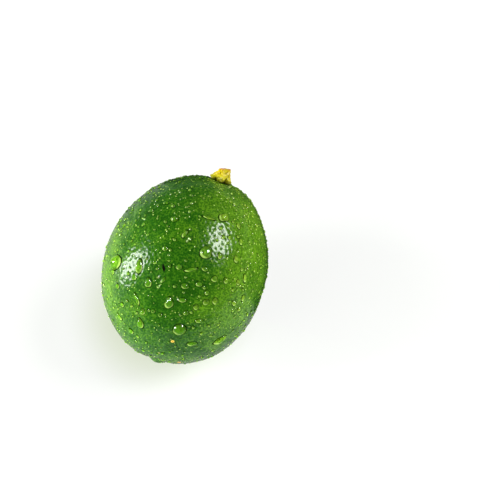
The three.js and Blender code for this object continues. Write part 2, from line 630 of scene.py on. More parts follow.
@dataclass
class PictureCamera:
    """Camera above the table that sees the fruit's middle at a given pixel, with no roll.

    Attributes:
        azimuth_deg: side it stands on; 0 looks along +Y.
        elevation_deg: its height above the table, seen from the fruit.
        distance_mm: from the fruit's middle.
        lens_mm: focal length.
        sensor_mm: width of the sensor.
        frame_px: side of the square picture.
        subject_at: where the fruit's middle is seen.
        clip_m: nearest and furthest distance that it sees.
        made: the camera object, once it is built.
    """

    azimuth_deg: float = 31.5
    elevation_deg: float = 67.0
    distance_mm: float = 341.9
    lens_mm: float = 70.0
    sensor_mm: float = 36.0
    frame_px: float = 500.0
    subject_at: Pixel = Pixel(185.5, 268.9)
    clip_m: tuple[float, float] = (0.01, 20.0)
    made: Piece | None = field(default=None, init=False)

    def in_camera(self, at: Pixel) -> Vector:
        """Direction of a pixel in the camera's own axes.

        Args:
            at: the pixel.

        Returns:
            Unit direction: right, up, back.
        """
        focal_px = self.lens_mm / self.sensor_mm * self.frame_px
        middle = self.frame_px / 2
        return Vector((at.x - middle, middle - at.y, -focal_px)).normalized()

    def build(self, subject: Vector) -> None:
        """Make the camera, aim it and set it as the scene's camera.

        Args:
            subject: the fruit's middle in metres.
        """
        azimuth, elevation = math.radians(self.azimuth_deg), math.radians(self.elevation_deg)
        flat = math.cos(elevation)
        back = Vector((math.sin(azimuth) * flat, -math.cos(azimuth) * flat, math.sin(elevation)))
        seen = self.in_camera(self.subject_at)
        tilt = math.asin(-back.z / math.hypot(seen.y, seen.z)) - math.atan2(seen.y, -seen.z)
        forward = -seen.z * math.cos(tilt) - seen.y * math.sin(tilt)
        heading = math.atan2(-back.x, -back.y) - math.atan2(seen.x, forward)
        data = bpy.data.cameras.new("picture_camera")
        data.lens, data.sensor_width = self.lens_mm, self.sensor_mm
        data.clip_start, data.clip_end = self.clip_m
        data.dof.use_dof = False
        self.made = bpy.data.objects.new("picture_camera", data)
        self.made.location = subject + back * self.distance_mm * MM
        self.made.rotation_euler = (math.pi / 2 + tilt, 0, -heading)
        bpy.context.scene.collection.objects.link(self.made)
        bpy.context.scene.camera = self.made
        bpy.context.view_layer.update()

    def ray(self, at: Pixel) -> tuple[Vector, Vector]:
        """Start and unit direction of the sight line through a pixel, in the row frame."""
        turn = self.made.matrix_world.to_3x3()
        return self.made.location.copy(), (turn @ self.in_camera(at)).normalized()

    def picture_way(self, lean_deg: float) -> Vector:
        """Direction that points up in the picture.

        Args:
            lean_deg: how far it leans to the right.

        Returns:
            Unit direction in the row frame.
        """
        lean = math.radians(lean_deg)
        turn = self.made.matrix_world.to_3x3()
        return turn @ Vector((math.sin(lean), math.cos(lean), 0))


# ---- finishes


class Finish:
    """The finish of a real material.

    Attributes:
        label: name of its Blender material.
    """

    label: ClassVar[str]

    def surface(self, tree: Tree, place: Socket) -> Socket:
        """Make what the finish is made of.

        Args:
            tree: the material's node tree.
            place: object coordinates.

        Returns:
            The shader of its surface.
        """
        raise NotImplementedError

    def build(self) -> Material:
        """Make the material.

        Returns:
            The material with its node tree.
        """
        material = bpy.data.materials.new(self.label)
        material.use_nodes = True
        tree = material.node_tree
        tree.nodes.clear()
        place = add_node(tree, "TexCoord").outputs["Object"]
        add_node(tree, "OutputMaterial", {"Surface": self.surface(tree, place)})
        return material


@dataclass(frozen=True)
class PlacedMark:
    """A scar, scab or speck in its place on the peel.

    Attributes:
        at: row frame point in metres.
        turn: turn whose X and Y run across and along the mark, in radians about X, Y and Z.
        across_mm: its width and its length.
        core: colour of the middle.
        rim: colour of the edge.
        fray: how far the rind's grain frays it.
        stops: places of the two colours, from 0 in the middle; the grain adds about 0.3.
        edge: the same for where it starts and where it covers all.
    """

    at: tuple[float, float, float]
    turn: tuple[float, float, float]
    across_mm: tuple[float, float]
    core: str
    rim: str
    fray: float = 0.6
    stops: tuple[float, float] = (0.6, 0.95)
    edge: tuple[float, float] = (1.4, 1.1)


@dataclass(frozen=True)
class RindGreens:
    """Greens of lime rind: chlorophyll that fades to yellow where the fruit has ripened.

    The eye sees soft clouds with a fine grain, deep green to yellow-green.

    Attributes:
        deep: the deepest green.
        middle: the green between.
        ripe: the yellow-green.
        grain_mm: size of the fine grain.
        mottle_mm: size of the soft clouds.
        mottle_share: how far the clouds move the green.
        grain_share: how far the grain moves it.
        frizz: how much finer noise the clouds and the grain hold.
        stops: shares of ripeness at the three greens.
    """

    deep: str
    middle: str
    ripe: str
    grain_mm: float
    mottle_mm: float = 7.0
    mottle_share: float = 0.35
    grain_share: float = 0.32
    frizz: float = 0.6
    stops: tuple[float, float, float] = (0.2, 0.46, 0.84)

    def blend(self, tree: Tree, place: Socket) -> tuple[Socket, Socket, Socket]:
        """Colour the rind by the fruit's ripeness and the rind's own clouds and grain.

        Args:
            tree: the node tree to add to.
            place: object coordinates.

        Returns:
            The colour, its share from 0, deep green, to 1, yellow-green, and the grain alone.
        """
        share = add_node(tree, "Attribute", attribute_name="ripeness").outputs["Fac"]
        for size, detail, amount in (
            (self.mottle_mm, 1.0, self.mottle_share), (self.grain_mm, 2.0, self.grain_share)
        ):
            noise = add_node(
                tree,
                "TexNoise",
                {
                    "Vector": place,
                    "Scale": per_metre(size),
                    "Detail": detail,
                    "Roughness": self.frizz,
                },
            ).outputs["Fac"]
            share = add_node(
                tree, "Math", {0: noise, 1: amount, 2: share}, operation="MULTIPLY_ADD"
            ).outputs["Value"]
        greens = (self.deep, self.middle, self.ripe)
        colour = add_node(
            tree, "ValToRGB", {"Fac": share}, stops=zip(self.stops, greens),
        ).outputs["Color"]
        return colour, share, noise


@dataclass(frozen=True)
class WaxyPeel(Finish):
    """Flavedo of a fresh lime: grown skin under a thin cuticle of natural wax, rinsed wet.

    The wax gives a satin sheen that breaks into a net of small glints. The oil glands read as
    close dark dots, each in a dimple, and the rind stands up between them in small paler points.

    Attributes:
        marks: scars and specks to draw on it.
        greens: colour of the rind.
        gland: colour of the oil glands.
        deep_ridge: colour of the rind's points where it is deep green.
        ripe_ridge: their colour where it is ripe.
        ridge_stops: shares of ripeness at those two.
        shaded: colour of the painted shade under the calyx, which shows between its lobes.
        gland_pitch_mm: spacing of the small glands that only colour shows.
        ridge_cover: of the points, the distances from a small gland where they start and are
            full, and their cover.
        pore_cover: the same for the small glands' dark dots.
        gland_cover: the same for the large glands, by how deep in a dimple.
        roughness: least and most of the rind under the wax.
        grain_span: grain at those two.
        wax_ends: depth in a dimple where the wax starts to thin and is gone.
        relief: strength and height in mm of the grain and of the small glands.
        rind_shine: how far the rind itself mirrors.
        wax_roughness: how soft the sheen is.
        wax_ior: of the wax in the rind.
        film_ior: of the wax film on it.
    """

    marks: tuple[PlacedMark, ...] = ()
    greens: RindGreens = RindGreens("#103504", "#215907", "#699f16", grain_mm=0.38)
    gland: str = "#0f3503"
    deep_ridge: str = "#25660c"
    ripe_ridge: str = "#9ad02c"
    ridge_stops: tuple[float, float] = (0.3, 0.8)
    shaded: str = "#120f03"
    gland_pitch_mm: float = 0.62
    ridge_cover: tuple[float, float, float] = (0.5, 0.75, 0.4)
    pore_cover: tuple[float, float, float] = (0.45, 0.22, 0.4)
    gland_cover: tuple[float, float, float] = (0.15, 0.9, 0.42)
    roughness: tuple[float, float] = (0.34, 0.5)
    grain_span: tuple[float, float] = (0.3, 0.7)
    wax_ends: tuple[float, float] = (0.2, 0.65)
    relief: tuple[tuple[float, float], tuple[float, float]] = ((0.3, 0.04), (0.35, 0.05))
    rind_shine: float = 0.05
    wax_roughness: float = 0.11
    wax_ior: float = 1.44
    film_ior: float = 1.45

    label = "waxy_lime_peel"

    def surface(self, tree: Tree, place: Socket) -> Socket:
        """The rind with its glands and marks under the wax.

        Args:
            tree: the material's node tree.
            place: object coordinates.

        Returns:
            The peel's shader.
        """
        gland, shaded = (
            add_node(tree, "Attribute", attribute_name=label).outputs["Fac"]
            for label in ("gland", "shaded")
        )
        colour, ripeness, grain = self.greens.blend(tree, place)
        ridges = (self.deep_ridge, self.ripe_ridge)
        ridge = add_node(
            tree, "ValToRGB", {"Fac": ripeness}, stops=zip(self.ridge_stops, ridges)
        ).outputs["Color"]
        cells = add_node(
            tree, "TexVoronoi", {"Vector": place, "Scale": per_metre(self.gland_pitch_mm)}
        ).outputs["Distance"]
        layers = (
            (cells, *self.ridge_cover, ridge),
            (cells, *self.pore_cover, self.gland),
            (gland, *self.gland_cover, self.gland),
            # painted shade of the calyx on the peel
            (shaded, 0.0, 1.0, 1.0, self.shaded),
        )
        colour = lay_over(tree, colour, layers)
        for mark in self.marks:
            colour = self.draw_mark(tree, colour, place, grain, mark)
        # A range node's sockets in order: the value, its two ends and what they become.
        roughness, wax = (
            add_node(tree, "MapRange", dict(enumerate(ends))).outputs["Result"]
            for ends in (
                (grain, *self.grain_span, *self.roughness), (gland, *self.wax_ends, 1.0, 0.0)
            )
        )
        normal = None
        for height, (strength, depth_mm) in zip((grain, cells), self.relief):
            under = {"Normal": normal} if normal else {}
            normal = add_node(
                tree,
                "Bump",
                {"Height": height, "Strength": strength, "Distance": depth_mm * MM, **under},
            ).outputs["Normal"]
        return add_node(
            tree,
            "BsdfPrincipled",
            {
                "Base Color": colour,
                "Roughness": roughness,
                "IOR": self.wax_ior,
                "Specular IOR Level": self.rind_shine,
                "Coat Weight": wax,
                "Coat Roughness": self.wax_roughness,
                "Coat IOR": self.film_ior,
                "Normal": normal,
                "Coat Normal": normal,
            },
        ).outputs["BSDF"]

    def draw_mark(
        self, tree: Tree, colour: Socket, place: Socket, grain: Socket, mark: PlacedMark
    ) -> Socket:
        """Lay one mark over the peel's colour.

        Args:
            tree: the material's node tree.
            colour: the colour so far.
            place: the object coordinates.
            grain: fine noise that frays its edge.
            mark: what to draw.

        Returns:
            The colour with the mark on it.
        """
        half = [size / 2 * MM for size in mark.across_mm]
        local = add_node(
            tree,
            "Mapping",
            {
                "Vector": place,
                "Location": mark.at,
                "Rotation": mark.turn,
                "Scale": (half[0], half[1], max(half)),
            },
            vector_type="TEXTURE",
        ).outputs["Vector"]
        apart = add_node(tree, "VectorMath", {0: local}, operation="LENGTH").outputs["Value"]
        frayed = add_node(
            tree, "Math", {0: grain, 1: mark.fray, 2: apart}, operation="MULTIPLY_ADD"
        ).outputs["Value"]
        spot = add_node(
            tree, "ValToRGB", {"Fac": frayed}, stops=zip(mark.stops, (mark.core, mark.rim))
        ).outputs["Color"]
        return lay_over(tree, colour, [(frayed, *mark.edge, 1.0, spot)])


@dataclass(frozen=True)
class DriedCalyx(Finish):
    """Sepals and stalk scar of a picked lime: plant tissue dried to a corky, waxy yellow.

    Colour runs from green-yellow near the peel to lemon up the neck, with lighter corky grains
    and olive pits, a thin brown edge on the lobe tips and pinkish brown patches on the torn scar.
    It is wet, so its grain catches small glints.

    Attributes:
        base: colour near the peel.
        neck: colour up the neck.
        stops: shares of the height at those two; the cork adds about 0.45.
        grain: colour of the corky grains.
        pit: colour of the pits.
        tip: colour of the lobe tips.
        notch_shade: colour of the painted shade deep in the notches.
        scar: colour of the scar's patches.
        grain_mm: size of the grains.
        climb: how far the cork shifts the colours up or down.
        cork_span: cork at the dull and at the satin end.
        roughness: at those two.
        relief_mm: height of the grains.
        tissue_shine: how far the tissue itself mirrors.
        wet_film: cover of the water film.
        film_roughness: how soft its glints are.
    """

    base: str = "#a2b414"
    neck: str = "#d6c000"
    stops: tuple[float, float] = (0.45, 1.0)
    grain: str = "#e2e23c"
    pit: str = "#7d7410"
    tip: str = "#6f6a12"
    notch_shade: str = "#140f02"
    scar: str = "#cc7440"
    grain_mm: float = 0.9
    climb: float = 0.9
    cork_span: tuple[float, float] = (0.3, 0.7)
    roughness: tuple[float, float] = (0.5, 0.25)
    relief_mm: float = 0.4
    tissue_shine: float = 0.15
    wet_film: float = 0.6
    film_roughness: float = 0.08

    label = "dried_calyx"

    def surface(self, tree: Tree, place: Socket) -> Socket:
        """The dry calyx with its film of water.

        Args:
            tree: the material's node tree.
            place: object coordinates.

        Returns:
            The calyx's shader.
        """
        height, notch, scar, rim = (
            add_node(tree, "Attribute", attribute_name=label).outputs["Fac"]
            for label in ("height_share", "notch", "scar", "rim")
        )
        cork = add_node(
            tree, "TexNoise", {"Vector": place, "Scale": per_metre(self.grain_mm), "Detail": 4.0}
        ).outputs["Fac"]
        rise = add_node(
            tree, "Math", {0: cork, 1: self.climb, 2: height}, operation="MULTIPLY_ADD"
        ).outputs["Value"]
        colour = add_node(
            tree, "ValToRGB", {"Fac": rise}, stops=zip(self.stops, (self.base, self.neck))
        ).outputs["Color"]
        layers = (
            (cork, 0.55, 0.64, 0.8, self.grain),
            (cork, 0.45, 0.36, 0.65, self.pit),
            (rim, 0.0, 1.0, 0.5, self.tip),
            # painted shade deep in the notches between the lobes
            (notch, 0.0, 1.0, 0.95, self.notch_shade),
            (scar, 0.0, 1.0, 1.0, self.scar),
        )
        colour = lay_over(tree, colour, layers)
        roughness = add_node(
            tree, "MapRange", dict(enumerate((cork, *self.cork_span, *self.roughness)))
        ).outputs["Result"]
        normal = add_node(
            tree, "Bump", {"Height": cork, "Strength": 1.0, "Distance": self.relief_mm * MM}
        ).outputs["Normal"]
        return add_node(
            tree,
            "BsdfPrincipled",
            {
                "Base Color": colour,
                "Roughness": roughness,
                "Specular IOR Level": self.tissue_shine,
                "Coat Weight": self.wet_film,
                "Coat Roughness": self.film_roughness,
                "Normal": normal,
                "Coat Normal": normal,
            },
        ).outputs["BSDF"]


@dataclass(frozen=True)
class RinseWater(Finish):
    """Clean water left by rinsing, beaded on the wax.

    It is clear, so a drop shows as a lens: it gathers the lamps' light through its crown onto the
    peel away from them, keeps it off a thin dark line round the rim, and has a pin-point glint.

    Attributes:
        ior: of water.
        ripple_mm: size of the faint unevenness of its surface.
        ripple_strength: how far that shows.
        ripple_rise_mm: its height.
        glint_roughness: how soft the glint is.
        crown_full: share of the way from the rim to the crown where most light passes.
        passing: share of the light that passes at the rim and at the crown.
    """

    ior: float = 1.333
    ripple_mm: float = 1.6
    ripple_strength: float = 0.08
    ripple_rise_mm: float = 0.1
    glint_roughness: float = 0.055
    crown_full: float = 0.6
    passing: tuple[float, float] = (0.5, 1.2)

    label = "rinse_water"

    def surface(self, tree: Tree, place: Socket) -> Socket:
        """Clear water that lets light and shadow through.

        Args:
            tree: the material's node tree.
            place: object coordinates.

        Returns:
            The water's shader.
        """
        ripple = add_node(
            tree, "TexNoise", {"Vector": place, "Scale": per_metre(self.ripple_mm), "Detail": 1.0}
        ).outputs["Fac"]
        normal = add_node(
            tree,
            "Bump",
            {
                "Height": ripple,
                "Strength": self.ripple_strength,
                "Distance": self.ripple_rise_mm * MM,
            },
        ).outputs["Normal"]
        clear = add_node(
            tree,
            "BsdfPrincipled",
            {
                "Base Color": "#ffffff",
                "Roughness": self.glint_roughness,
                "IOR": self.ior,
                "Transmission Weight": 1.0,
                "Normal": normal,
            },
        ).outputs["BSDF"]
        crown = add_node(tree, "Attribute", attribute_name="crown").outputs["Fac"]
        gain = add_node(
            tree, "MapRange", dict(enumerate((crown, 0.0, self.crown_full, *self.passing)))
        ).outputs["Result"]
        tint = add_node(
            tree, "CombineColor", {"Red": gain, "Green": gain, "Blue": gain}
        ).outputs["Color"]
        passing = add_node(tree, "BsdfTransparent", {"Color": tint}).outputs["BSDF"]
        path = add_node(tree, "LightPath").outputs
        surface = clear
        for ray in ("Is Diffuse Ray", "Is Shadow Ray"):
            surface = add_node(
                tree, "MixShader", {0: path[ray], 1: surface, 2: passing}
            ).outputs["Shader"]
        return surface


@dataclass(frozen=True)
class FloodedRind(Finish):
    """The rind under a drop: flavedo with its wax flooded by water.

    Water takes its sheen away, and the rind is a little brighter and yellower than dry peel, partly
    by painted light that the lens above focuses. A crescent of painted light lies on the side away
    from a lamp, painted shade dims the near side, and a painted shade line edges it where the rim
    of the drop meets the wax.

    Attributes:
        greens: colour of the flooded rind, brightened with painted light.
        painted_lens_light: colour of the crescent of painted light.
        dim: colour of the oil glands and of the painted shade on the near side.
        line: colour of the painted shade line round the rim.
        gland_pitch_mm: spacing of the oil glands as the lens shows them.
        roughness: of the rind, which has no sheen here.
    """

    greens: RindGreens = RindGreens("#29620a", "#528c18", "#9cbe38", grain_mm=0.7)
    painted_lens_light: str = "#c2ec6c"
    dim: str = "#1a4607"
    line: str = "#102c04"
    gland_pitch_mm: float = 0.9
    roughness: float = 0.8

    label = "flooded_rind"

    def surface(self, tree: Tree, place: Socket) -> Socket:
        """The rind as the drop's lens shows it.

        Args:
            tree: the material's node tree.
            place: object coordinates.

        Returns:
            The rind's shader.
        """
        reach, bowl, painted_lens_shading = (
            add_node(tree, "Attribute", attribute_name=label).outputs["Fac"]
            for label in ("reach", "bowl", "painted_lens_shading")
        )
        colour, _, _ = self.greens.blend(tree, place)
        cells = add_node(
            tree, "TexVoronoi", {"Vector": place, "Scale": per_metre(self.gland_pitch_mm)}
        ).outputs["Distance"]
        # painted shade toward lamps, painted light away from them, a painted shade line round the
        # rim
        layers = (
            (cells, 0.45, 0.1, 0.75, self.dim),
            (painted_lens_shading, -0.1, -0.8, 0.6, self.dim),
            (painted_lens_shading, 0.14, 0.5, 0.95, self.painted_lens_light),
            (reach, 0.9, 1.0, 1.0, self.line),
        )
        colour = lay_over(tree, colour, layers)
        normal = add_node(tree, "Bump", {"Height": bowl, "Distance": MM}).outputs["Normal"]
        return add_node(
            tree,
            "BsdfPrincipled",
            {
                "Base Color": colour,
                "Roughness": self.roughness,
                "Specular IOR Level": 0.0,
                "Normal": normal,
            },
        ).outputs["BSDF"]


@dataclass(frozen=True)
class OpalTable(Finish):
    """Light table top: a matt sheet of cast opal acrylic, lit evenly from below.

    Its own light takes up most of the fruit's shadow and leaves a faint soft one. Close to the
    fruit its light holds a painted shadow, a little dimmer and tinted green as by light from the
    peel. Away from the fruit it is lit more, so it runs into the bright backdrop.

    Attributes:
        white: the sheet's colour.
        shade: the same in its faint clouds.
        cloud_stops: amounts of cloud at those two, the shade first.
        cloud_mm: size of the clouds.
        roughness: of the sheet.
        glow: its light by the fruit.
        far_glow: its light away from it.
        glow_rise_mm: distances from the fruit where the light starts to rise and is full.
        bounced_glow: what it lends the fruit's underside.
        mirrored_glow: its light as the peel's sheen shows it.
        mirrored: its colour as the peel's sheen shows it.
        painted_shadow: colour of its light in the middle of the painted shadow, tinted green.
        painted_shadow_at_mm: where that middle is.
        painted_shadow_fade_mm: distances from there where the painted shadow starts to fade and is
            gone.
    """

    white: str = "#8d908c"
    shade: str = "#888c86"
    cloud_stops: tuple[float, float] = (0.3, 0.7)
    cloud_mm: float = 90.0
    roughness: float = 0.7
    glow: float = 0.72
    far_glow: float = 1.0
    glow_rise_mm: tuple[float, float] = (120.0, 450.0)
    bounced_glow: float = 3.2
    mirrored_glow: float = 0.4
    mirrored: str = "#2c2e2c"
    painted_shadow: str = "#d7dbc4"
    painted_shadow_at_mm: tuple[float, float] = (-8.0, -9.0)
    painted_shadow_fade_mm: tuple[float, float] = (14.0, 38.0)

    label = "opal_acrylic"

    def surface(self, tree: Tree, place: Socket) -> Socket:
        """The sheet with its own light.

        Args:
            tree: the material's node tree.
            place: object coordinates.

        Returns:
            The table's shader.
        """
        cloud = add_node(
            tree, "TexNoise", {"Vector": place, "Scale": per_metre(self.cloud_mm), "Detail": 2.0}
        ).outputs["Fac"]
        colour = add_node(
            tree, "ValToRGB", {"Fac": cloud}, stops=zip(self.cloud_stops, (self.shade, self.white))
        ).outputs["Color"]
        path = add_node(tree, "LightPath").outputs
        in_sheen = (path["Is Glossy Ray"], 0.0, 1.0, 1.0, self.mirrored)
        colour = lay_over(tree, colour, [in_sheen])
        out, from_painted_shadow = (
            add_node(
                tree,
                "VectorMath",
                {0: place, 1: (*(size * MM for size in middle), 0.0)},
                operation="DISTANCE",
            ).outputs["Value"]
            for middle in ((0.0, 0.0), self.painted_shadow_at_mm)
        )
        glow_ends = (size * MM for size in self.glow_rise_mm)
        strength = add_node(
            tree, "MapRange", dict(enumerate((out, *glow_ends, self.glow, self.far_glow)))
        ).outputs["Result"]
        for ray, light in (
            ("Is Diffuse Ray", self.bounced_glow), ("Is Glossy Ray", self.mirrored_glow)
        ):
            strength = add_node(
                tree, "MapRange", {"Value": path[ray], "To Min": strength, "To Max": light}
            ).outputs["Result"]
        # Painted shadow of the fruit: near it the table's light is dimmer and tinted green.
        painted_shadow_ends = (size * MM for size in self.painted_shadow_fade_mm)
        clear = add_node(
            tree,
            "MapRange",
            dict(enumerate((from_painted_shadow, *painted_shadow_ends))),
            interpolation_type="SMOOTHSTEP",
        ).outputs["Result"]
        light = add_node(
            tree,
            "Mix",
            {MixSocket.FACTOR: clear, MixSocket.FIRST: self.painted_shadow, MixSocket.SECOND: "#ffffff"},
            data_type="RGBA",
        ).outputs[MixSocket.RESULT]
        return add_node(
            tree,
            "BsdfPrincipled",
            {
                "Base Color": colour,
                "Roughness": self.roughness,
                "Emission Color": light,
                "Emission Strength": strength,
            },
        ).outputs["BSDF"]

    def build(self) -> Material:
        """Make the material, and leave it out of the lights that rays are aimed at.

        Returns:
            The material.
        """
        material = super().build()
        material.cycles.emission_sampling = "NONE"
        return material


@dataclass(frozen=True)
class MattCard(Finish):
    """Dark dyed pulpboard: matt fibres that swallow light.

    Attributes:
        black: the board's colour.
        fibre: colour of its paler fibres.
        fibre_stops: amounts of fibre at those two.
        fibre_mm: size of the fibres.
        roughness: of the board.
    """

    black: str = "#101210"
    fibre: str = "#1b1e1a"
    fibre_stops: tuple[float, float] = (0.3, 0.7)
    fibre_mm: float = 1.5
    roughness: float = 0.9

    label = "dyed_pulpboard"

    def surface(self, tree: Tree, place: Socket) -> Socket:
        """The dull board.

        Args:
            tree: the material's node tree.
            place: object coordinates.

        Returns:
            The card's shader.
        """
        fibre = add_node(
            tree, "TexNoise", {"Vector": place, "Scale": per_metre(self.fibre_mm)}
        ).outputs["Fac"]
        colour = add_node(
            tree, "ValToRGB", {"Fac": fibre}, stops=zip(self.fibre_stops, (self.black, self.fibre))
        ).outputs["Color"]
        return add_node(
            tree, "BsdfPrincipled", {"Base Color": colour, "Roughness": self.roughness}
        ).outputs["BSDF"]


# ---- the pieces


@dataclass
class Peel:
    """The whole fruit's skin, dimpled over every oil gland.

    Attributes:
        form: the fruit's form.
        cells: quads along each edge of the blown-up cube that it is made from.
        gland_pitch_mm: spacing of the dimples. Real glands stand about 1 mm apart, which is too
            fine for the mesh and the render, so these are coarser.
        gland_reach_mm: least and most radius of a gland's dimple.
        gland_depth_mm: least and most depth of it.
        gland_faintest: colour share of the palest gland.
        jitter: how unevenly the glands lie, as a share of their spacing.
        swell_pitch_mm: spacing of the softer, wider dimples under the glands.
        swell_reach_mm: radius of those.
        swell_depth_mm: depth of those.
        calyx_shade_mm: radius of the painted shade on the peel under the calyx.
        calyx_shade_fade_mm: over how much that fades.
        seed: start of the random draw.
    """

    form: FruitForm
    cells: int = 126
    gland_pitch_mm: float = 1.35
    gland_reach_mm: tuple[float, float] = (0.36, 0.58)
    gland_depth_mm: tuple[float, float] = (0.07, 0.16)
    gland_faintest: float = 0.5
    jitter: float = 0.25
    swell_pitch_mm: float = 3.4
    swell_reach_mm: float = 1.5
    swell_depth_mm: float = 0.035
    calyx_shade_mm: float = 4.2
    calyx_shade_fade_mm: float = 0.8
    seed: int = 11

    def dimples(
        self, points: Array, pitch: float, reach: tuple[float, float]
    ) -> tuple[Array, Array]:
        """Find how deep each corner lies in its nearest dimple.

        Args:
            points: corners of the standing fruit, in mm.
            pitch: spacing of the dimples, in mm.
            reach: least and most radius of a dimple, in mm.

        Returns:
            Depth share at each corner, and a random share kept by each corner's dimple.
        """
        rng = np.random.default_rng(self.seed + round(pitch * 100))
        like_ball = (self.form.width**2 * self.form.length / 8) ** (1 / 3)
        count = round(4 * math.pi * like_ball**2 / pitch**2)
        spread = self.jitter * pitch / (self.form.width / 2)
        jitter = rng.normal(scale=spread, size=(count, 3))
        corners = KDTree(len(points))
        for number, point in enumerate(points):
            corners.insert(point, number)
        corners.balance()
        rough = self.form.peel(unit(even_directions(count) + jitter))
        centres = [corners.find(centre)[0] for centre in rough]
        radii = rng.uniform(*reach, size=count)
        kept = rng.uniform(size=count)
        tree = KDTree(count)
        for number, centre in enumerate(centres):
            tree.insert(centre, number)
        tree.balance()
        found = [tree.find(point) for point in points]
        nearest = np.array([number for _, number, _ in found])
        apart = np.array([distance for _, _, distance in found])
        return hump(apart, radii[nearest]), kept[nearest]

    def build(self, material: Material) -> Piece:
        """Make the peel.

        Args:
            material: its finish.

        Returns:
            The peel object.
        """
        ways, quads = cube_sphere(self.cells)
        smooth = self.form.peel(ways)
        gland, kept = self.dimples(smooth, self.gland_pitch_mm, self.gland_reach_mm)
        soft, _ = self.dimples(smooth, self.swell_pitch_mm, (self.swell_reach_mm,) * 2)
        least, most = self.gland_depth_mm
        depth = least + kept * (most - least)
        points = self.form.peel(ways, -gland * depth - soft * self.swell_depth_mm)
        laid = self.form.press(self.form.lay(points))
        from_core = self.form.core_angles(ways)[0] * self.form.width / 2
        amounts = {
            "gland": gland * (self.gland_faintest + (1 - self.gland_faintest) * kept),
            "ripeness": self.form.ripeness(ways),
            # painted shade on the peel under the calyx, seen between its lobes
            "shaded": np.clip((self.calyx_shade_mm - from_core) / self.calyx_shade_fade_mm, 0, 1),
        }
        return mesh_object("lime_peel", laid, quads, [material], amounts)


